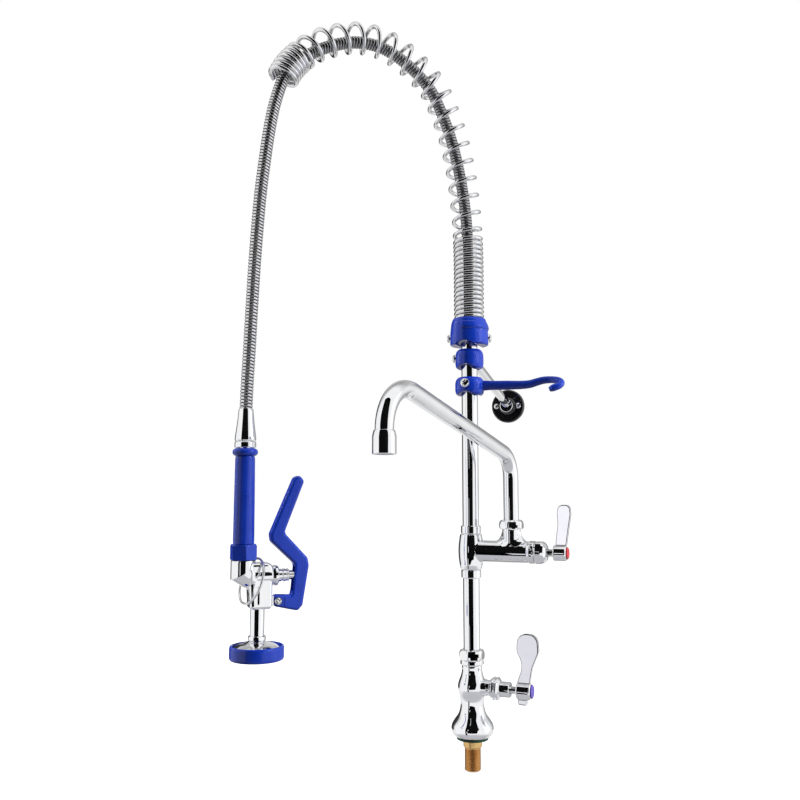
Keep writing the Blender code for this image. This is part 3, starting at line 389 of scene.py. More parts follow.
def cards():
    card("black_card", [(x, CARD_Y, z) for x, z in CARD_OUTLINE], flat_paint("card_paper", 0.004))
    for index, ((left, right), (low, high), glow) in enumerate(PALE_CARDS):
        outline = ((left, low), (right, low), (right, high), (left, high))
        corners = [(x, CARD_Y + 0.01, z) for x, z in outline]
        card(f"pale_card_{index}", corners, flat_paint(f"pale_paper_{index}", 0.0, glow))
    card("bright_card", [(BRIGHT_CARD_X, y, z) for y, z in BRIGHT_CARD_OUTLINE],
        flat_paint("bright_paper", 0.0, (1.35, 1.40, 1.50)))


camera()
studio()
softbox("key_light", (2.0, 0.0, 1.0), (0.7, 1.3), 62.0)
softbox("left_light", (-1.7, -0.2, 0.9), (0.5, 1.3), 36.0)
softbox("top_light", (0.3, -0.5, 2.2), (1.0, 1.0), 11.0)
pale_floor()
cards()
bpy.context.scene.view_settings.view_transform = "Standard"


# ---- finishes

RELIEF_M = 0.0002


def finish(name, colours, roughness, metallic, mottle, bump=0.0, grain=900.0, painted_shade=None, **settings):
    """A finish whose colour, roughness and relief vary over the piece.

    colours are two shades and roughness two values, which the mottle mixes; mottle and grain are features
    per metre. The colour for painted shade is laid on where the mesh's own attribute for it is 1.
    """
    material = bpy.data.materials.new(name)
    material.use_nodes = True
    tree = material.node_tree
    shader = tree.nodes["Principled BSDF"]
    place = tree.nodes.new("ShaderNodeTexCoord").outputs["Object"]

    def noise(scale, detail):
        node = tree.nodes.new("ShaderNodeTexNoise")
        node.inputs["Scale"].default_value = scale
        node.inputs["Detail"].default_value = detail
        tree.links.new(place, node.inputs["Vector"])
        return node.outputs["Fac"]

    patches = noise(mottle, 4.0)
    shade = ramp(tree, patches, ((0.35, colours[0]), (0.65, colours[1])))
    # painted shade: a dark colour mixed in where the mesh's painted-shade attribute is 1
    if painted_shade:
        depth = tree.nodes.new("ShaderNodeAttribute")
        depth.attribute_name = "painted_shade"
        shade = mixed(tree, depth.outputs["Fac"], shade, (*painted_shade, 1.0))
    tree.links.new(shade, shader.inputs["Base Color"])
    smears = tree.nodes.new("ShaderNodeMapRange")
    limits = {"From Min": 0.3, "From Max": 0.7, "To Min": roughness[0], "To Max": roughness[1]}
    for key, value in limits.items():
        smears.inputs[key].default_value = value
    tree.links.new(noise(mottle * 2.7, 6.0), smears.inputs["Value"])
    tree.links.new(smears.outputs[0], shader.inputs["Roughness"])
    if bump:
        relief = tree.nodes.new("ShaderNodeBump")
        relief.inputs["Strength"].default_value = bump
        relief.inputs["Distance"].default_value = RELIEF_M
        tree.links.new(noise(grain, 3.0), relief.inputs["Height"])
        tree.links.new(relief.outputs[0], shader.inputs["Normal"])
    shader.inputs["Metallic"].default_value = metallic
    for key, value in settings.items():
        shader.inputs[key.replace("_", " ")].default_value = value
    return material


LOOKS = {
    "chrome": finish(
        "polished_chrome", ((0.86, 0.87, 0.89), (0.90, 0.90, 0.91)), (0.010, 0.034), 1.0, mottle=60.0),
    "dark_chrome": finish(
        "dark_chrome_plate", ((0.004, 0.004, 0.005), (0.007, 0.007, 0.008)), (0.04, 0.09), 0.0,
        mottle=70.0, Coat_Weight=1.0, Coat_Roughness=0.03),
    "brass": finish(
        "turned_brass", ((0.62, 0.34, 0.12), (0.76, 0.44, 0.17)), (0.36, 0.48), 1.0, mottle=900.0,
        bump=0.10, grain=1500.0),
    "bright_brass": finish(
        "faced_brass", ((0.66, 0.42, 0.17), (0.74, 0.49, 0.21)), (0.20, 0.32), 1.0, mottle=200.0,
        bump=0.03, grain=900.0),
    "stainless_steel": finish(
        "drawn_steel", ((0.70, 0.70, 0.71), (0.80, 0.80, 0.81)), (0.02, 0.06), 1.0, mottle=120.0,
        bump=0.01, grain=1500.0),
    # the hose's steel, with near-black painted shade in its rib grooves and painted shade inside the overhead spring
    "braided_hose": finish(
        "hose_steel_painted_shade", ((0.64, 0.64, 0.65), (0.76, 0.76, 0.77)), (0.04, 0.10), 1.0, mottle=150.0,
        bump=0.02, grain=1500.0, painted_shade=(0.010, 0.010, 0.012)),
    "blue_plastic": finish(
        "blue_moulding", ((0.004, 0.032, 0.38), (0.006, 0.039, 0.43)), (0.20, 0.28), 0.0, mottle=55.0,
        bump=0.03, grain=1300.0, Specular_IOR_Level=0.46),
    "gasket_rubber": finish(
        "gasket_rubber", ((0.012, 0.045, 0.030), (0.022, 0.070, 0.048)), (0.60, 0.80), 0.0,
        mottle=240.0, bump=0.35, grain=2200.0),
    "white_plastic": finish(
        "white_moulding", ((0.78, 0.78, 0.76), (0.84, 0.84, 0.82)), (0.38, 0.50), 0.0, mottle=120.0,
        bump=0.12, grain=1500.0),
    "violet_plastic": finish(
        "violet_index", ((0.10, 0.06, 0.44), (0.14, 0.09, 0.52)), (0.16, 0.28), 0.0, mottle=200.0,
        bump=0.06, grain=1500.0),
    "red_plastic": finish(
        "red_index", ((0.52, 0.02, 0.03), (0.62, 0.03, 0.04)), (0.16, 0.28), 0.0, mottle=200.0,
        bump=0.06, grain=1500.0),
}


# ---- shapes

def shown(node, mesh, place=None, smooth_below=34.0, look=None):
    """Shows this mesh, written in millimetres, in place of a CAD node, on the node's body."""
    slot = NODE_SLOT[node]
    matrix = Matrix.Scale(MM, 4) @ (place or Matrix.Identity(4))
    mesh.transform(matrix)
    obj = bpy.data.objects.new(node + "_fine", mesh)
    COLLECTION.objects.link(obj)
    mesh.materials.clear()
    mesh.materials.append(LOOKS[look or slot])
    mesh.shade_smooth()
    if smooth_below:
        mesh.set_sharp_from_angle(angle=math.radians(smooth_below))
        weigh = obj.modifiers.new("Face weighted shading", "WEIGHTED_NORMAL")
        weigh.keep_sharp = True
    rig.slot(obj, slot)
    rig.replaces(obj, node)
    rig.ride(obj, NODE_BODY[node])
    return obj


def mesh_of(name, points, faces):
    """A mesh with its faces turned outward."""
    mesh = bpy.data.meshes.new(name)
    mesh.from_pydata(points, [], faces)
    bm = bmesh.new()
    bm.from_mesh(mesh)
    bmesh.ops.recalc_face_normals(bm, faces=bm.faces)
    bm.to_mesh(mesh)
    bm.free()
    return mesh


def arcs(corners, closed=True, degrees=9.0):
    """An outline from (x, z) or (x, z, radius) corners; each radius becomes an arc."""
    outline = []
    count = len(corners)
    for index, corner in enumerate(corners):
        here = Vector(corner[:2])
        radius = corner[2] if len(corner) > 2 else 0.0
        if radius <= 0 or (not closed and index in (0, count - 1)):
            outline.append(here)
            continue
        into = (Vector(corners[index - 1][:2]) - here).normalized()
        out = (Vector(corners[(index + 1) % count][:2]) - here).normalized()
        opening = into.angle(out)
        bend = math.pi - opening
        if bend < math.radians(2):
            outline.append(here)
            continue
        steps = max(2, math.ceil(bend / math.radians(degrees)))
        reach = radius / math.tan(opening / 2)
        centre = here + (into + out).normalized() * (radius / math.sin(opening / 2))
        first = here + into * reach - centre
        sweep = first.angle_signed(here + out * reach - centre)
        for step in range(steps + 1):
            spoke = first.copy()
            spoke.rotate(Matrix.Rotation(-sweep * step / steps, 2))
            outline.append(centre + spoke)
    return outline


def curve_through(points, parts):
    """A smooth curve through the points, with this many parts from each point to the next."""
    ghost = [2 * points[0] - points[1], *points, 2 * points[-1] - points[-2]]
    curve = []
    for a, b, c, d in zip(ghost, ghost[1:], ghost[2:], ghost[3:]):
        for part in range(parts):
            t = part / parts
            curve.append(0.5 * (2 * b + (c - a) * t + (2 * a - 5 * b + 4 * c - d) * t * t
                                + (3 * b - a - 3 * c + d) * t ** 3))
    return [*curve, points[-1]]


def flow(points):
    """A smooth outline through these (radius, along) points, as corners without arcs."""
    return [tuple(spot) for spot in curve_through([Vector(point) for point in points], 6)]


def smooth_path(points, step):
    """Points about step apart on a smooth curve through the given ones."""
    dense = curve_through(points, 24)
    lengths = [0.0]
    for a, b in zip(dense, dense[1:]):
        lengths.append(lengths[-1] + (b - a).length)
    count = max(2, round(lengths[-1] / step))
    path, index = [], 0
    for place in range(count + 1):
        wanted = lengths[-1] * place / count
        while index < len(dense) - 2 and lengths[index + 1] < wanted:
            index += 1
        share = (wanted - lengths[index]) / (lengths[index + 1] - lengths[index])
        path.append(dense[index].lerp(dense[index + 1], share))
    return path


def heading(path, index):
    """The direction of an open path at one of its points."""
    return (path[min(index + 1, len(path) - 1)] - path[max(index - 1, 0)]).normalized()


def bent_path(points, radii, steps):
    """Straight runs joined by arcs; radii holds one value for each inner point."""
    path = [points[0]]
    for before, here, after, radius in zip(points, points[1:], points[2:], radii):
        into = (before - here).normalized()
        out = (after - here).normalized()
        half = into.angle(out) / 2
        centre = here + (into + out).normalized() * (radius / math.sin(half))
        first = here + into * (radius / math.tan(half)) - centre
        last = here + out * (radius / math.tan(half)) - centre
        normal = first.cross(last).normalized()
        for step in range(steps + 1):
            path.append(centre + Matrix.Rotation(first.angle(last) * step / steps, 3, normal) @ first)
    path.append(points[-1])
    return path


def lathe(corners, sides=72, axis="+Z", at=(0, 0, 0), radius_at=None):
    """A turned mesh; it is hollow if its outline starts off the axis.

    corners are (radius, along) or (radius, along, fillet). radius_at changes the radius around the turn.
    """
    hollow = corners[0][0] > 1e-6
    line = arcs(corners, closed=hollow)
    place = Matrix.Translation(at) @ LYING[axis]
    points, rings = [], []
    for radius, along in line:
        if radius < 1e-6:
            rings.append([len(points)])
            points.append(place @ Vector((0, 0, along)))
            continue
        rings.append(list(range(len(points), len(points) + sides)))
        for k in range(sides):
            angle = math.tau * k / sides
            r = radius_at(radius, along, angle) if radius_at else radius
            points.append(place @ Vector((r * math.cos(angle), r * math.sin(angle), along)))
    faces = []
    pairs = list(zip(rings, rings[1:]))
    if hollow:
        pairs.append((rings[-1], rings[0]))
    for low, high in pairs:
        for k in range(sides):
            n = (k + 1) % sides
            quad = [low[k % len(low)], low[n % len(low)], high[n % len(high)], high[k % len(high)]]
            face = list(dict.fromkeys(quad))
            if len(face) > 2:
                faces.append(face)
    return mesh_of("turned", points, faces)


def rod(radius, low, high, axis="+Z", at=(0, 0, 0), sides=32):
    """A plain round bar between two heights along its axis."""
    return lathe([(0, low), (radius, low), (radius, high), (0, high)], sides, axis, at)


def turned(node, corners, axis="+Z", at=(0, 0, 0), place=None, radius_at=None, look=None):
    """Shows a turned piece in place of a CAD node."""
    shown(node, lathe(corners, 96, axis, at, radius_at), place, look=look)


def hexagonal(flats, sharpness):
    """Holds a turned piece's radius inside a hexagon this wide across its flats."""
    def limited(radius, along, angle):
        total = sum(max(0.0, math.cos(angle - math.radians(60 * k))) ** sharpness for k in range(6))
        return min(radius, 0.5 * flats / total ** (1 / sharpness))
    return limited


def plate(outline, back, front):
    """An outline in the XZ plane, extruded along Y from back to front."""
    count = len(outline)
    points = [Vector((x, y, z)) for y in (back, front) for x, z in outline]
    faces = [list(range(count)), list(range(count, 2 * count))]
    faces += [[k, (k + 1) % count, count + (k + 1) % count, count + k] for k in range(count)]
    return mesh_of("plate", points, faces)


def swept(path, sizes, sides=32, across=None, closed=False, bore=None):
    """An elliptical section along a path.

    sizes is (half width, half height), or a list of them, one for each point. across fixes the direction
    of the section's width. bore is the radius of a round bore, which makes the piece hollow.
    """
    count = len(path)
    loops = []
    for index, point in enumerate(path):
        tangent = heading(path, index)
        if closed:
            tangent = (path[(index + 1) % count] - path[index - 1]).normalized()
        side = across if across is not None else tangent.cross(UP).normalized()
        rise = side.cross(tangent).normalized()
        width, height = sizes[index] if isinstance(sizes, list) else sizes
        loops.append([point + side * (width * math.cos(math.tau * k / sides))
                      + rise * (height * math.sin(math.tau * k / sides)) for k in range(sides)])
    if bore:
        for middle, loop in zip(path[::-1], loops[::-1]):
            loops.append([middle + (spot - middle) * (bore / (spot - middle).length) for spot in loop])
        closed = True
    return tube_mesh(loops, closed)


def tube_mesh(loops, closed=False):
    """Skins loops of equally many points; an open one gets its ends filled."""
    sides = len(loops[0])
    points = [spot for loop in loops for spot in loop]
    starts = [index * sides for index in range(len(loops))]
    pairs = list(zip(starts, starts[1:]))
    if closed:
        pairs.append((starts[-1], starts[0]))
    faces = [[a + k, a + (k + 1) % sides, b + (k + 1) % sides, b + k]
             for a, b in pairs for k in range(sides)]
    if not closed:
        faces += [list(range(sides)), list(range(starts[-1], starts[-1] + sides))]
    return mesh_of("tube", points, faces)


def box_mesh(low, high):
    spans = list(zip(low, high))
    corners = [Vector((x, y, z)) for x in spans[0] for y in spans[1] for z in spans[2]]
    faces = [[0, 1, 3, 2], [4, 6, 7, 5], [0, 4, 5, 1], [2, 3, 7, 6], [0, 2, 6, 4], [1, 5, 7, 3]]
    return mesh_of("box", corners, faces)


def worked(mesh, added=(), removed=(), rounding=None, voxel=None, ease=0):
    """Joins and cuts meshes, rounds the sharp edges, or melts all into one casting with eased corners."""
    helpers = []
    obj = bpy.data.objects.new("work", mesh)
    COLLECTION.objects.link(obj)
    for operation, group in (("UNION", added), ("DIFFERENCE", removed)):
        for other in group:
            helper = bpy.data.objects.new("helper", other)
            COLLECTION.objects.link(helper)
            helpers.append(helper)
            step = obj.modifiers.new(operation, "BOOLEAN")
            step.operation = operation
            step.solver = "EXACT"
            step.object = helper
    if rounding:
        width, segments, angle = rounding
        step = obj.modifiers.new("Rounded edges", "BEVEL")
        step.width = width
        step.segments = segments
        step.limit_method = "ANGLE"
        step.angle_limit = math.radians(angle)
        step.harden_normals = False
        step.use_clamp_overlap = False
    if voxel:
        step = obj.modifiers.new("Casting", "REMESH")
        step.mode = "VOXEL"
        step.voxel_size = voxel
    if ease:
        step = obj.modifiers.new("Eased corners", "SMOOTH")
        step.factor = 0.5
        step.iterations = ease
    view = bpy.context.evaluated_depsgraph_get()
    result = bpy.data.meshes.new_from_object(obj.evaluated_get(view))
    for used in [obj, *helpers]:
        bpy.data.objects.remove(used)
    return result


def cross_recess(radius, top, depth, axis, at):
    """Two cutters that make the cross in a screw's head; top is the head's height along its axis."""
    place = Matrix.Translation(at) @ LYING[axis]
    cutters = []
    for turn in (45.0, 135.0):
        half = 0.24 * radius + 0.1
        mesh = box_mesh((-radius, -half, top - depth), (radius, half, top + 3.0))
        mesh.transform(place @ Matrix.Rotation(math.radians(turn), 4, "Z"))
        cutters.append(mesh)
    return cutters


def repaint(*nodes):
    """Gives CAD nodes that keep their own shape their finish."""
    for node in nodes:
        obj = frame["nodes"][node]
        for place in obj.material_slots:
            place.material = LOOKS[NODE_SLOT[node]]
        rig.slot(obj, NODE_SLOT[node])


# ---- hose

HOSE_ROUTE = ((0, 545.3), (0, 590), (1.2, 640), (4.4, 685), (13, 737), (27, 788), (47.4, 833.5),
    (62.5, 853.5), (82, 870), (103, 882.5), (124, 890.3), (145, 892.2), (167, 889.2), (189, 881.2),
    (209.5, 870.6), (225, 859.6), (236, 849), (246.5, 838), (253.5, 829), (258.6, 817), (267.6, 784),
    (273.6, 748), (278.4, 709), (282.4, 671), (285.6, 626), (288.2, 580), (290.4, 530), (292.4, 478),
    (294.2, 437), (295, 407.9))
HOSE_R = 7.75
RIB_PITCH = 3.9
RIB_DEPTH = 1.25
RIB_POWER = 2.6             # how flat a rib's crest is
GROOVE_SHADE_FROM = 0.58          # where the painted shade starts on the way from a rib's crest to its groove
GROOVE_SHADE_FADE = 0.20
SHADE_IN_SPRING = 0.45      # painted shade: how dark the hose is inside the overhead spring
SHADE_END_U = 254.0         # beyond this u the hose leaves the spring,
SHADE_END_Z = 790.0         # and from this height down it has no painted shade
SHADE_FADE = 60.0
SWAY_U = (226.0, 262.0)     # where along u the hose bends when it sways
SWAY_Z = 831.0


def shade(point):
    """How much painted shade the hose gets here: the overhead spring's shade, fading out below the spring's free end.
    """
    inside = (point.z - SHADE_END_Z) / SHADE_FADE if point.x > SHADE_END_U else 1.0
    return SHADE_IN_SPRING * min(1.0, max(0.0, inside))


def hose():
    """A strip-wound steel sheath: rounded ribs that climb along the hose as one helix, with painted shade in the
    grooves.
    """
    route = [Vector((u, 0, z)) for u, z in HOSE_ROUTE]
    rings_per_rib, sides = 8, 28
    path = smooth_path(route, RIB_PITCH / rings_per_rib)
    loops, painted_shades = [], []
    for index, point in enumerate(path):
        rise = ACROSS.cross(heading(path, index)).normalized()
        # painted shade inside the overhead spring
        shadow = shade(point)
        loop = []
        for k in range(sides):
            angle = math.tau * k / sides
            phase = (index / rings_per_rib - k / sides) % 1.0
            from_crest = 2 * abs(phase - 0.5)
            radius = HOSE_R - RIB_DEPTH * from_crest ** RIB_POWER
            # painted shade: near-black in each groove between the ribs, and the spring's painted shade all round
            painted_shades.append(min(1.0, max(shadow, (from_crest - GROOVE_SHADE_FROM) / GROOVE_SHADE_FADE)))
            loop.append(point + radius * (ACROSS * math.cos(angle) + rise * math.sin(angle)))
        loops.append(loop)
    mesh = tube_mesh(loops)
    # the painted shade reaches the finish through this attribute
    mesh.attributes.new("painted_shade", "FLOAT", "POINT").data.foreach_set("value", painted_shades)
    mesh.transform(Matrix.Scale(MM, 4) @ GOOSENECK)
    mesh.materials.append(LOOKS["braided_hose"])
    mesh.shade_smooth()
    obj = bpy.data.objects.new("hose", mesh)
    COLLECTION.objects.link(obj)
    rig.slot(obj, "braided_hose")
    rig.replaces(obj, "hose_upper", "hose_lower")
    ends = [GOOSENECK @ Vector((u * MM, 0, SWAY_Z * MM)) for u in SWAY_U]
    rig.blend(obj, "gooseneck", "hose_drop", start=ends[0], end=ends[1])
    line = [GOOSENECK @ (point * MM) for point in path[::4] + [path[-1]]]
    length = sum((b - a).length for a, b in zip(line, line[1:]))
    return obj, line, length


# ---- base and riser

FIT = 0.3                   # the gap that a piece keeps to the one it fits around
PIPE_R = 10.65
SOCKET_R = PIPE_R + FIT
SHANK_R = 10.3
SHANK_FIT_R = SHANK_R + FIT
BASE_ARM_Z = 64.0


def inlet():
    """The threaded brass shank with its helical thread, the collar on it and the gasket on the deck."""
    thread_pitch, thread_depth, rings_per_turn = 1.814, 0.95, 12
    bottom, thread_top, top = -38, -10.4, 18
    count = round((thread_top - bottom) / thread_pitch * rings_per_turn)
    corners = [(7.4, bottom, 0.5), (9.2, bottom, 0.4)]
    corners += [(SHANK_R, bottom + 0.9 + (thread_top - bottom - 1.2) * step / count)
                for step in range(count + 1)]
    corners += [(SHANK_R, top), (7.4, top)]

    def threaded(radius, along, angle):
        if radius < 9.5 or along > thread_top:
            return radius
        phase = (along / thread_pitch - angle / math.tau) % 1.0
        run_in = min(1.0, (along - bottom) / 2, (thread_top - along) / 1.2 + 0.1)
        return radius - thread_depth * run_in * (1 - 2 * abs(phase - 0.5))

    turned("inlet_shank", corners, radius_at=threaded)
    turned("shank_collar", [(SHANK_FIT_R, -9.7), (11.2, -9.7, 0.4), (11.9, -8.6, 0.6), (11.9, 2.5, 0.3),
        (SHANK_FIT_R, 2.5)], look="bright_brass")
    turned("base_gasket", [(12.4, 0), (20, 0, 0.5), (20, 2.5, 0.5), (12.4, 2.5)])


def base_casting():
    foot = [(0, 2.8), (20.4, 2.8, 0.5), (24.4, 5.4, 0.8), (26.4, 9, 1.6)]
    bowl = flow([(26.9, 13), (26.2, 17.5), (24.2, 21.4), (21.7, 25), (18.8, 29), (16.8, 33), (15.3, 39),
        (15.1, 45), (15.9, 51), (17.4, 57.5), (18.3, 64), (17.2, 70.2), (15.4, 75), (13.8, 79.5), (13, 85)])
    neck = [(13.3, 88.2, 1), (13.3, 90.2, 0.6), (12.7, 90.8), (12.7, 101.5, 0.5), (0, 101.5)]
    boss = lathe([(0, 2), (15.4, 2), (15.4, 8.6, 2), (13.4, 11, 6), (11.2, 15, 8), (10, 20, 8),
        (9.9, 25.4, 0.8), (0, 25.4)], 64, "+X", (0, 0, BASE_ARM_Z))
    body = worked(lathe(foot + bowl + neck, 96), added=[boss], voxel=0.5, ease=16)
    shown("base_body", body, smooth_below=None)


def base_trim():
    turned("base_bonnet", [(5.1, 25.7), (12, 25.7, 0.4), (13.2, 27.4, 0.8), (14.4, 28.4, 0.6),
        (14.4, 30.6, 0.6), (13.3, 31.4, 0.3), (13.3, 32, 0.3), (14.3, 32.8, 0.6), (14.3, 34.4, 0.8),
        (12.2, 36.4, 1), (9.65, 37.4, 0.8), (9.65, 49.2, 0.6), (9, 50.2, 0.4), (5.1, 50.2)],
        "+X", (0, 0, BASE_ARM_Z))
    nut_lower = [(13.1, 90.9), (14.2, 90.9, 0.6), (15, 92.2, 0.9), (15, 95.6, 0.9), (14.6, 97, 0.5)]
    nut_upper = [(15.9, 98.4, 0.8), (16.8, 102, 3), (16.5, 106, 3), (14.9, 109.4, 1.2), (12.6, 110.6, 0.6),
        (SOCKET_R, 110.6), (SOCKET_R, 103.9), (13.1, 103.9)]
    turned("riser_coupling_nut", nut_lower + nut_upper, radius_at=hexagonal(29.8, 60))
    for node, low, high in (("lower_riser", 104, 217.5), ("upper_riser", 248.6, 506)):
        turned(node, [(8.4, low), (PIPE_R, low), (PIPE_R, high), (8.4, high)])


def lever(node, outline, thickness, hub_start, hub_end, hub_r, arm_z):
    """A blade and a tail with rounded edges, melted onto the hub that turns about the arm."""
    at = (0, 0, arm_z)
    blade = worked(plate(arcs(outline, degrees=7), -thickness / 2, thickness / 2), rounding=(0.6, 4, 40))
    hub = lathe([(0, hub_start), (hub_r, hub_start, 1.2), (hub_r, hub_end - 1.4, 1),
        (hub_r - 1.4, hub_end, 0.4), (0, hub_end)], 64, "+X", at)
    well = rod(5.2, hub_end - 8.6, hub_end + 2, "+X", at, 48)
    stem = rod(3.3, hub_start - 2, hub_end - 8, "+X", at)
    shown(node, worked(blade, added=[hub], removed=[well, stem], voxel=0.4, ease=6), smooth_below=None)


def button(node, hub_end, radius, arm_z):
    shown(node, lathe([(0, hub_end - 4.8), (4.8, hub_end - 4.8), (4.8, hub_end + 0.3),
        (radius, hub_end + 0.3, 0.2), (radius, hub_end + 1.3, 0.5), (radius - 1.2, hub_end + 2, 1.2),
        (0, hub_end + 2.1)], 64, "+X", (0, 0, arm_z)))


def levers():
    lever("base_lever", [(60, 47, 2.5), (71.5, 47, 2.5), (73.5, 58, 20), (76, 74, 30), (79, 92, 22),
        (87.4, 112, 12), (86, 134, 12), (59.8, 134, 12), (58.4, 112, 12), (66.6, 95, 22), (59.2, 76, 12),
        (59, 58, 20)],
        6, 58.5, 76.8, 10, BASE_ARM_Z)
    lever("tee_lever", [(109.4, 229, 2), (122, 229, 2), (124.6, 246, 8), (127.4, 264, 30), (130.4, 282, 12),
        (129.4, 293.6, 6), (114.4, 293.6, 7), (112.6, 283, 6), (113.4, 270, 14), (110.4, 246, 20)],
        5.6, 107.8, 124.2, 9.8, ARM_Z)
    button("base_valve_index_button", 76.8, 8.25, BASE_ARM_Z)
    button("tee_valve_index_button", 124.2, 7.3, ARM_Z)


# ---- add-on valve and spout

ARM_Z = 234.0
SPOUT_X = 54.0
SPOUT_R = 9.55
SPOUT_FIT_R = SPOUT_R + FIT


def tee():
    barrel = lathe([(0, 210), (13.2, 210, 0.5), (14.7, 216, 8), (15.9, 224, 20), (16.4, 233, 30),
        (16, 242, 20), (14.9, 250, 12), (14, 255.3, 0.5), (0, 255.3)], 96)
    arm = lathe([(0, 2), (13.9, 2), (13.8, 24, 8), (13.7, 76.6, 0.8), (14.6, 78.2, 0.8), (14.6, 84.6, 0.5),
        (0, 84.6)], 96, "+X", (0, 0, ARM_Z))
    boss = lathe([(0, 236), (11.2, 236), (11.75, 246, 2), (11.75, 262, 0.3), (11.2, 262.6, 0.2),
        (11.2, 269.6), (0, 269.6)], 72, "+Z", (SPOUT_X, 0, 0))
    root = lathe([(0, 236), (22, 242), (20, 247, 2), (16, 250.2, 5), (13.4, 254.5, 6), (11.9, 261, 2),
        (11.7, 262), (0, 262)], 72)
    root.transform(Matrix.Translation((SPOUT_X, 0, 0)) @ Matrix.Diagonal((1, 0.56, 1, 1)))
    shown("tee_body", worked(barrel, added=[arm, boss, root], voxel=0.5, ease=22), smooth_below=None)
    for node, low in (("tee_lower_collar", 199.5), ("tee_upper_collar", 255.6)):
        top = low + 10.4
        turned(node, [(SOCKET_R, low), (12.4, low, 0.6), (12.8, low + 1, 0.6), (12.8, top - 1, 0.6),
            (12.2, top, 0.4), (SOCKET_R, top)])
    turned("tee_bonnet", [(5.1, 84.9), (13.6, 84.9, 0.5), (14.9, 86.6, 0.8), (14.9, 93.2, 1.5),
        (12.8, 96.8, 2.5), (9.6, 99.4, 1.5), (7, 100.2, 0.4), (5.1, 100.2)],
        "+X", (0, 0, ARM_Z), radius_at=hexagonal(27.6, 50))


def spout():
    turn = math.radians(-98.2)
    along = Vector((math.cos(turn), math.sin(turn), 0))
    across = Vector((-math.sin(turn), math.cos(turn), 0))
    foot = Vector((SPOUT_X, 0, 0))
    tip = foot + along * 302.5
    corners = [foot + UP * 250, foot + UP * 353.2, tip + UP * 427.1, tip + UP * 360]
    shown("spout_tube", swept(bent_path(corners, [34, 44], 28), (SPOUT_R, SPOUT_R), 64, across, bore=7.6))
    turned("spout_nut", [(11.6, 262.9), (14.8, 262.9, 0.5), (15.8, 264.6, 1), (15.9, 268, 2),
        (15, 271.8, 1.2), (13.2, 273.9, 0.8), (11.8, 274.4, 0.4), (SPOUT_FIT_R, 274.4), (SPOUT_FIT_R, 270),
        (11.6, 270)], at=foot, radius_at=hexagonal(29.6, 45))
    turned("aerator_shell", [(SPOUT_FIT_R, 346.4), (11.3, 346.4, 0.4), (12.1, 347.6, 0.8), (12.1, 364, 1.5),
        (11.2, 368.4, 3), (10.5, 370.4, 0.6), (SPOUT_FIT_R, 370.8)], at=tip)
    insert = lathe([(0, 350.5), (2, 348.2, 0.4), (9.3, 348.2, 0.4), (9.3, 356.5), (6, 359.4), (0, 359.4)],
        64, "+Z", tip)
    holes = []
    for ring_r, amount in ((4.3, 8), (7, 14)):
        for k in range(amount):
            angle = math.tau * k / amount
            spot = tip + Vector((ring_r * math.cos(angle), ring_r * math.sin(angle), 0))
            holes.append(rod(0.85, 346, 350.6, at=spot, sides=12))
    shown("aerator_insert", worked(insert, removed=holes))


# ---- clamps, hook and brace

SCREW_SWING = 18.0       # the brace's and the retainer's screws, in degrees about the riser


def clamp(bottom, top, radius):
    """The barrel-shaped shell of a riser clamp."""
    return lathe([(SOCKET_R, bottom), (radius - 3.4, bottom, 1), (radius - 0.9, bottom + 2.4, 2),
        (radius, bottom + 7, 6), (radius, top - 8, 5), (radius - 1.4, top - 3, 4), (radius - 4.4, top, 1),
        (SOCKET_R, top)], 96)


def arch(bottom, rise, back=30):
    """A cutter along Y for the arched notch where the riser enters a clamp."""
    half_span = 12.4
    radius = (half_span ** 2 + rise ** 2) / (2 * rise)
    return rod(radius, -30, back, "+Y", (0, 0, bottom + rise - radius), 96)


def swung(mesh):
    """The same mesh turned to where the clamps' screws point."""
    mesh.transform(Matrix.Rotation(math.radians(SCREW_SWING), 4, "Z"))
    return mesh


def seat_and_hole(axis, at, start, seat_at, seat_r):
    """The cutters for a screw's hole and for the flat its head bears on."""
    return [rod(2.7, start, 30, axis, at), rod(seat_r, seat_at, 32, axis, at, 48)]


def screw(node, axis, at, start, head_at, head_r, turn=False):
    """A domed cross-head screw; start and head_at are measured along its axis."""
    mesh = lathe([(0, start), (2.3, start), (2.3, head_at), (head_r, head_at, 0.3),
        (head_r - 0.4, head_at + 1.7, 0.6), (head_r * 0.62, head_at + 3.1, 2), (0, head_at + 3.5)],
        64, axis, at)
    mesh = worked(mesh, removed=cross_recess(head_r * 0.56, head_at + 3.5, 2, axis, at))
    shown(node, swung(mesh) if turn else mesh, smooth_below=30)


def hook():
    at = (0, 0, 450)
    shell = clamp(435, 459, 19)
    route = [Vector(point) for point in ((14, 0, 447.4), (24, 0, 447.4), (49, 0, 446.6), (70, 0, 446),
        (81, 0, 446.6), (90, 0, 448.8), (99, 0, 450.6), (110, -0.8, 450.6), (119, -3.6, 448.6),
        (123.4, -9, 444.8), (121, -13.8, 441), (115.4, -16.2, 438.6), (109.8, -16.2, 436.6))]
    path = smooth_path(route, 1.5)
    sizes = []
    for index, point in enumerate(path):
        run = point.x if point.y > -0.5 else 120.0
        tip = min(1.0, (len(path) - 1 - index) / 3)
        height = 4.5 + 1.8 * max(0.0, 1 - run / 30) + 1.6 * max(0.0, min(1.0, (110.0 - run) / 60))
        sizes.append((4.2 * (0.7 + 0.3 * tip), height * (0.7 + 0.3 * tip)))
    arm = swept(path, sizes, 32)
    cutters = [arch(435, 4.6), *seat_and_hole("-Y", at, 8, 18.6, 6.7)]
    shown("hook_arm", worked(shell, added=[arm], removed=cutters, voxel=0.45, ease=9), smooth_below=None)
    screw("hook_screw", "-Y", at, SOCKET_R, 19, 6.1)


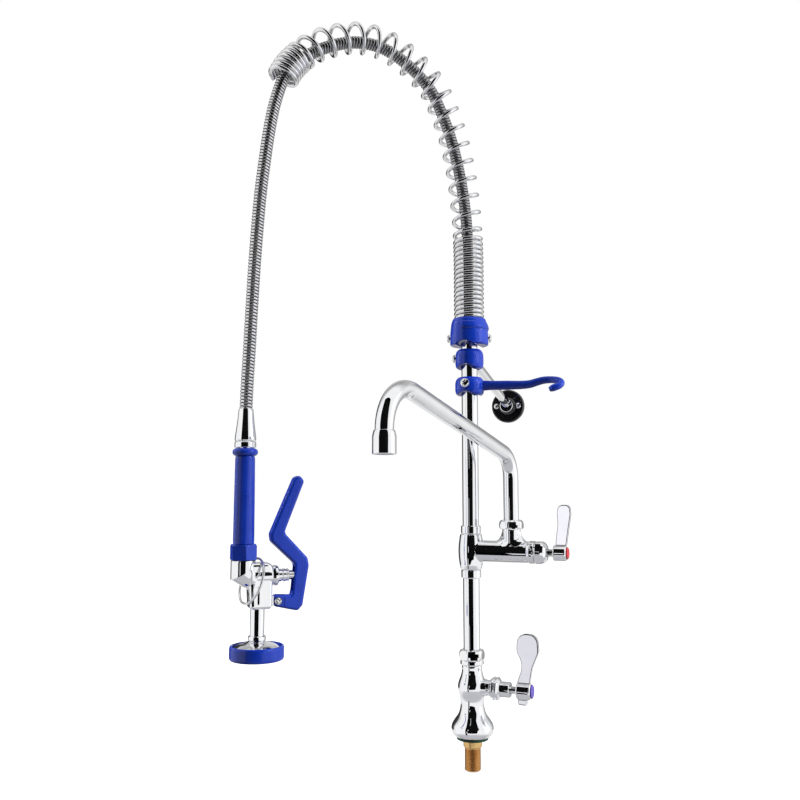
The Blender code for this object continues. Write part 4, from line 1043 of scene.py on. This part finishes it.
STRUT_SLOPE = math.radians(15)
STRUT_TILT = Matrix.Translation((0, 0, 488)) @ Matrix.Rotation(-math.pi / 2 - STRUT_SLOPE, 4, "X")
STRUT_R = 6.25
STRUT_FIT_R = STRUT_R + FIT
WALL_Y = 187.0
FLANGE_Z = 437.6
FLANGE_SCREW_X = 16.8


def along_strut(corners, sides=64):
    mesh = lathe(corners, sides)
    mesh.transform(STRUT_TILT)
    return mesh


def brace():
    boss = along_strut([(0, 14.2), (9, 14.2), (9, 22.6, 0.5), (8, 24, 0.4), (0, 24)])
    socket = along_strut([(0, 14.8), (STRUT_FIT_R, 14.8), (STRUT_FIT_R, 30), (0, 30)])
    at = (0, 0, 484)
    cutters = [swung(mesh) for mesh in seat_and_hole("-X", at, 8, 18.3, 6.2)]
    shown("bracket_collar", worked(clamp(470, 496, 18.6), added=[boss],
        removed=[arch(470, 5.6, 11.5), *cutters, socket], voxel=0.45, ease=8), smooth_below=None)
    screw("bracket_screw", "-X", at, SOCKET_R, 18.8, 5.7, turn=True)
    end = (WALL_Y - 4.4) / math.cos(STRUT_SLOPE)
    strut = along_strut([(0, 15), (5.4, 15), (STRUT_R, 16, 0.5), (STRUT_R, end - 1, 0.5), (5.4, end),
        (0, end)], 96)
    face = WALL_Y - 6.0
    collar = lathe([(0, face - 8), (9, face - 8, 0.5), (9.9, face - 7.4, 0.4), (9.9, face - 6.6, 0.2),
        (0, face - 6.6)], 96, "+Y", (0, 0, FLANGE_Z))
    shown("brace_strut", worked(strut, added=[collar]), smooth_below=30)
    disc = lathe([(0, WALL_Y), (24.4, WALL_Y, 0.2), (25, WALL_Y - 0.8, 0.3), (25, face + 1.6, 0.8),
        (23.4, face, 0.8), (12.6, face, 0.3), (11.5, face - 1.2, 0.6), (11.5, face - 5.6, 0.5),
        (10.7, face - 6.4, 0.4), (0, face - 6.4)], 96, "+Y", (0, 0, FLANGE_Z))
    reach = (WALL_Y - 4) / math.cos(STRUT_SLOPE)
    cutters = [along_strut([(0, 150), (STRUT_FIT_R, 150), (STRUT_FIT_R, reach), (0, reach)])]
    for side in (-FLANGE_SCREW_X, FLANGE_SCREW_X):
        cutters.append(rod(2.5, face - 3, WALL_Y + 3, "+Y", (side, 0, FLANGE_Z)))
    shown("wall_flange", worked(disc, removed=cutters), smooth_below=30)
    for node, side in (("flange_screw_left", -FLANGE_SCREW_X), ("flange_screw_right", FLANGE_SCREW_X)):
        at = (side, 0, FLANGE_Z)
        mesh = lathe([(0, -WALL_Y + 0.3), (2.1, -WALL_Y + 0.3), (2.1, 0.3 - face), (4.3, 0.3 - face, 0.2),
            (4, 1.6 - face, 0.5), (2.4, 2.6 - face, 1.5), (0, 2.8 - face)], 48, "-Y", at)
        shown(node, worked(mesh, removed=cross_recess(2.3, 2.8 - face, 1.5, "-Y", at)), smooth_below=30)


def retainer():
    shell = lathe([(SOCKET_R, 501), (23.6, 501, 0.9), (25.2, 502.6, 1.2), (25.5, 508, 4), (25.2, 516, 8),
        (24.4, 524, 10), (23.8, 529.5, 6), (22.6, 534, 4), (21.6, 536.2, 0.8), (21, 537, 0.3),
        (20.6, 537, 0.2), (20.6, 524, 0.5), (13.4, 524), (13.4, 506.3), (SOCKET_R, 506.3)], 96)
    lip = lathe([(21, 521.4), (25.4, 521.4, 0.5), (26.2, 523.6, 1.2), (25.6, 526.5, 3), (24, 531, 1),
        (21, 531)], 96)
    lip = worked(lip, removed=[box_mesh((-40, -40, 515), (-3, 40, 540))])
    cutters = [arch(501, 4.4)]
    at = (0, 0, 511)
    for axis in ("+X", "-X"):
        cutters += [swung(mesh) for mesh in seat_and_hole(axis, at, 11, 25, 6.6)]
    shown("spring_retainer", worked(shell, added=[lip], removed=cutters, voxel=0.45, ease=6),
        smooth_below=None)
    screw("retainer_screw_right", "+X", at, 13, 25.8, 5.7, turn=True)
    screw("retainer_screw_left", "-X", at, 13, 25.8, 5.7, turn=True)


# ---- spring

SPRING_AXIS = [Vector((u, 0, z)) for u, z in ((0, 527.5), (0, 570), (0, 614), (0.8, 647), (3.4, 685),
    (10.6, 738), (23.2, 789), (43.6, 837), (59.5, 858), (80, 874.5), (101.5, 887.5), (123.6, 895.5),
    (145, 897.5), (167, 895), (189, 887.2), (209.5, 877), (225, 865.6), (236, 855), (248, 840.5),
    (257, 824))]
WIRE_R, COIL_R = 2.7, 17.4
CLOSE_LENGTH, END_STACK = 113.5, 34.0
CLOSE_PITCH, OPEN_PITCH = 6.1, 23.2


def spring():
    """One wire: closed turns above the retainer, open turns over the arch, a closed stack at the end."""
    axis = smooth_path(SPRING_AXIS, 1)
    step = sum((b - a).length for a, b in zip(axis, axis[1:])) / (len(axis) - 1)
    total = step * (len(axis) - 1)
    steps_per_turn, sides = 48, 16

    def pitch(s):
        opening = min(max((s - CLOSE_LENGTH) / OPEN_PITCH, 0.0), 1.0)
        closing = min(max((total - END_STACK - s) / OPEN_PITCH, 0.0), 1.0)
        return CLOSE_PITCH + (OPEN_PITCH - CLOSE_PITCH) * min(opening, closing)

    wire, out = [], []
    s = turn = 0.0
    while s < total - 1e-6:
        index = min(int(s / step), len(axis) - 2)
        centre = axis[index].lerp(axis[index + 1], s / step - index)
        before, after = axis[max(index - 2, 0)], axis[min(index + 3, len(axis) - 1)]
        tangent = (after - before).normalized()
        spoke = ACROSS * math.cos(turn) + tangent.cross(ACROSS) * math.sin(turn)
        wire.append(centre + COIL_R * spoke)
        out.append(spoke)
        s += pitch(s) / steps_per_turn
        turn += math.tau / steps_per_turn
    loops = []
    for index, point in enumerate(wire):
        tangent = heading(wire, index)
        outward = (out[index] - tangent * out[index].dot(tangent)).normalized()
        aside = tangent.cross(outward)
        loops.append([point + WIRE_R * (outward * math.cos(math.tau * k / sides)
                + aside * math.sin(math.tau * k / sides)) for k in range(sides)])
    shown("overhead_spring", tube_mesh(loops), GOOSENECK)


# ---- spray valve

GRIP_U = 295.0
OUTLET_U = 277.4
BONNET_Z = 212.2
PIVOT = (254.6, 0, 183)
PIN_HOLE_R = 2.4


def grip():
    def on_grip(node, corners, radius_at=None):
        turned(node, corners, "+Z", (GRIP_U, 0, 0), GOOSENECK, radius_at)

    on_grip("hose_ferrule", [(0, 407.4), (8.2, 407.4, 0.4), (8.8, 405, 3), (9.4, 398, 20), (11, 384, 60),
        (12.4, 374, 20), (12.6, 370.4, 1), (11.8, 368.6, 0.5), (7, 368.6), (7, 352), (0, 352)])
    on_grip("swivel_nut", [(7.4, 368.2), (12.1, 368.2, 0.4), (12.7, 367.4, 0.5), (12.7, 361.9, 0.5),
        (12.1, 361.2, 0.4), (7.4, 361.2)])
    bead = []
    for step in range(17):
        angle = math.radians(90 - 180 * step / 16)
        bead.append((10.0 + 4.85 * math.cos(angle), 356.0 + 4.7 * math.sin(angle)))
    on_grip("grip_stop_ring", bead + [(7.4, 351.3), (7.4, 360.7)])
    on_grip("spray_grip", [(7.6, 351), (11.2, 351, 0.4), (11.55, 348, 2), (12, 300, 300), (12.35, 255, 3),
        (12.1, 249.6, 0.5), (7.6, 249.6)])
    on_grip("grip_lock_nut", [(9, 249.3), (14.4, 249.3, 0.4), (16.2, 247.4, 0.6), (16.2, 232.6, 0.6),
        (15.2, 231.4, 0.4), (9, 231.4)], hexagonal(28.2, 110))


def valve_body():
    """The cast elbow with the chest, the bonnet's socket, the outlet's ring and the trigger's lug."""
    bend = math.radians(55)
    inlet_r = 14.4
    mitre = Vector((GRIP_U, 0, 216.6))
    slant = Vector((-math.sin(bend), 0, -math.cos(bend)))
    path = [Vector((GRIP_U, 0, 231.1)), Vector((GRIP_U, 0, 230.5)), mitre + UP * 7, mitre,
        mitre + slant * 7, mitre + slant * 21]
    sizes = [(inlet_r - 0.6, inlet_r - 0.6), (inlet_r, inlet_r), (inlet_r, inlet_r),
        (inlet_r, inlet_r / math.cos(bend / 2)), (13.6, inlet_r - 0.6), (10.8, 12)]
    elbow = swept(path, sizes, 96, ACROSS)
    spout_ring = lathe([(0, 180), (11.6, 180, 0.8), (11.6, 200), (0, 200)], 64, "+Z", (OUTLET_U, 0, 0))
    chest_line = arcs([(262, 174.6, 4.4), (262, 228, 7), (292, 228, 5), (289.5, 203, 6), (288, 174.6, 4.4)])
    chest = worked(plate(chest_line, -11.4, 11.4), rounding=(4, 5, 60))
    socket = lathe([(0, 261.9), (11.9, 261.9, 0.4), (12.3, 262.8, 0.4), (12.3, 284), (0, 284)], 64, "+X",
        (0, 0, BONNET_Z))
    lug = plate(arcs([(270, 177.4), (252, 177.4, 4.6), (248.6, 183, 4.6), (252, 188.8, 4.6), (270, 188.8)]),
        -4, 4)
    pin_hole = rod(PIN_HOLE_R, -10, 10, "+Y", PIVOT)
    outlet = rod(8.7, 170, 200, "+Z", (OUTLET_U, 0, 0), 48)
    shown("spray_body", worked(elbow, added=[spout_ring, chest, socket, lug], removed=[pin_hole, outlet],
        voxel=0.4, ease=5), GOOSENECK, smooth_below=None)


def valve_trim():
    """The ringed bonnet and the plunger, whose shoulder leaves its travel free in front of the spring."""
    at = (0, 0, BONNET_Z)
    neck = [(5.8, 241.6, 0.3), (7.2, 241.6, 0.3), (7.6, 242, 0.2), (7.6, 243, 0.2)]
    for start in (243.6, 248.8):
        neck += [(6.7, start, 0.3), (6.7, start + 1, 0.3), (7.6, start + 1.6, 0.3), (7.6, start + 4.6, 0.3)]
    neck[-1] = (7.6, 254.6, 0.3)
    flange = [(11.4, 254.6, 0.4), (12.1, 255.6, 0.5), (12.1, 258.4, 0.5), (10.6, 261.6, 0.5), (8.2, 261.6),
        (8.2, 270), (3, 270), (3, 267), (5.8, 267)]
    turned("valve_bonnet", neck + flange, "+X", at, GOOSENECK)
    shown("valve_plunger", lathe([(0, 231.9), (4.8, 231.9, 0.5), (5.4, 232.8, 0.5), (5.4, 248.2, 0.3),
        (2.5, 248.2), (2.5, 276), (6.4, 276, 0.2), (6.4, 278.6, 0.2), (0, 278.6)], 72, "+X", at), GOOSENECK)


def trigger():
    """The bent lever with its forked foot, the pocket for the plunger, and the pin that it turns on."""
    outline = arcs([(259.6, 177, 3.8), (230.4, 170.4, 5), (224.6, 176.8, 5), (217.4, 222.6, 6),
        (219, 231.8, 6), (247.6, 261.8, 6), (224.2, 322.6, 5), (230.4, 330, 5), (237, 326.4, 5),
        (265, 260.4, 6), (263.6, 251.6, 6), (235.2, 225.2, 6), (238.6, 189.6, 1.5), (259.6, 190.4, 3.8)],
        degrees=8)
    pocket = worked(box_mesh((231.4, -5.9, 193.5), (246, 5.9, 222.5)), rounding=(0.8, 3, 40))
    hole = rod(PIN_HOLE_R, -10, 10, "+Y", PIVOT)
    seat = rod(4.9, 6.3, 10, "+Y", PIVOT, 48)
    line = box_mesh((246.6, 6.2, 165), (247.3, 9, 195))
    fork_gap = box_mesh((246.8, -4.4, 165), (268, 4.4, 195))
    blade = worked(plate(outline, -7, 7), rounding=(3.6, 6, 40))
    mesh = worked(blade, removed=[fork_gap, pocket, hole, seat, line])
    shown("trigger_lever", mesh, GOOSENECK, smooth_below=30)
    pin = lathe([(0, -7), (2, -7), (2, 6.6), (4.3, 6.6, 0.3), (4.1, 8.2, 0.5), (2.8, 9.3, 1.5), (0, 9.6)],
        64, "+Y", PIVOT)
    shown("trigger_pin", worked(pin, removed=cross_recess(3.1, 9.6, 2.6, "+Y", PIVOT)), GOOSENECK,
        smooth_below=30)


def hold_ring():
    centre = Vector((285.2, 1, 206.8))
    lean = math.radians(19)
    twist = math.radians(12)
    ring_r, wire_r, steps = 26.7, 1.5, 96
    slope = Vector((-math.sin(lean), 0, math.cos(lean)))
    aside = (ACROSS * math.cos(twist) + slope.cross(ACROSS) * math.sin(twist)).normalized()
    turns = [math.tau * step / steps for step in range(steps)]
    path = [centre + ring_r * (slope * math.cos(turn) + aside * math.sin(turn)) for turn in turns]
    shown("hold_ring", swept(path, (wire_r, wire_r), 20, slope.cross(aside).normalized(), closed=True),
        GOOSENECK)


def spray_head():
    at = (OUTLET_U, 0, 0)

    def on_outlet(node, corners):
        turned(node, corners, "+Z", at, GOOSENECK)

    on_outlet("outlet_tube", [(6.2, 139), (8, 139, 0.2), (8.4, 139.6, 0.2), (8.4, 192), (6.2, 192)])
    on_outlet("nozzle_nut", [(8.7, 139), (9.6, 139, 0.4), (10.4, 140, 0.8), (10.4, 143.4, 0.8),
        (9.6, 144.4, 0.4), (8.7, 144.4)])
    on_outlet("spray_bell", [(6.2, 138.7), (9.4, 138.7, 0.3), (11.4, 137.4, 2), (15.6, 136, 10),
        (21, 134.6, 12), (25.6, 131.8, 5), (28, 128.4, 2), (28, 121.6), (25.6, 121.6), (25.6, 127.8),
        (22, 130.8), (13, 132.8), (6.2, 133.6)])
    disc = lathe([(0, 119.4), (25.3, 119.4, 0.3), (25.3, 122), (0, 122)], 96, "+Z", at)
    holes = []
    for k in range(8):
        angle = math.tau * (k + 0.3) / 8
        spot = (OUTLET_U + 15.5 * math.cos(angle), 15.5 * math.sin(angle), 0)
        holes.append(rod(1.6, 117, 125, at=spot, sides=24))
    shown("spray_face", worked(disc, removed=holes), GOOSENECK, smooth_below=30)
    on_outlet("spray_bumper", [(28.3, 132.6), (29.8, 133.7, 0.8), (31, 133, 0.8), (31.6, 131, 1.2),
        (31.6, 120.2, 1.2), (31, 118, 0.8), (29.8, 117.3, 0.8), (27, 117.3, 0.6), (25.8, 118.4, 0.4),
        (25.8, 121.3), (28.3, 121.3)])


hose_piece, hose_line, hose_length = hose()
inlet()
base_casting()
base_trim()
levers()
tee()
spout()
hook()
brace()
retainer()
spring()
grip()
valve_body()
valve_trim()
trigger()
hold_ring()
spray_head()
repaint("base_valve_cartridge", "base_valve_stem", "base_valve_screw", "tee_valve_cartridge",
    "tee_valve_stem", "tee_valve_screw", "riser_packing", "spout_washer", "hose_adapter",
    "valve_return_spring")
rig.cord(hose_piece, exit=hose_line[0], length=hose_length, diameter=2 * HOSE_R * MM, far_end="tool",
    stiffness="stiff", lay="hanging", path=hose_line, with_pieces=["hose_ferrule_fine"])

low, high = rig.bounds()
with open("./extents.json", "w") as report:
    json.dump({"cad": [list(cad_low), list(cad_high)], "visual": [list(low), list(high)]}, report)
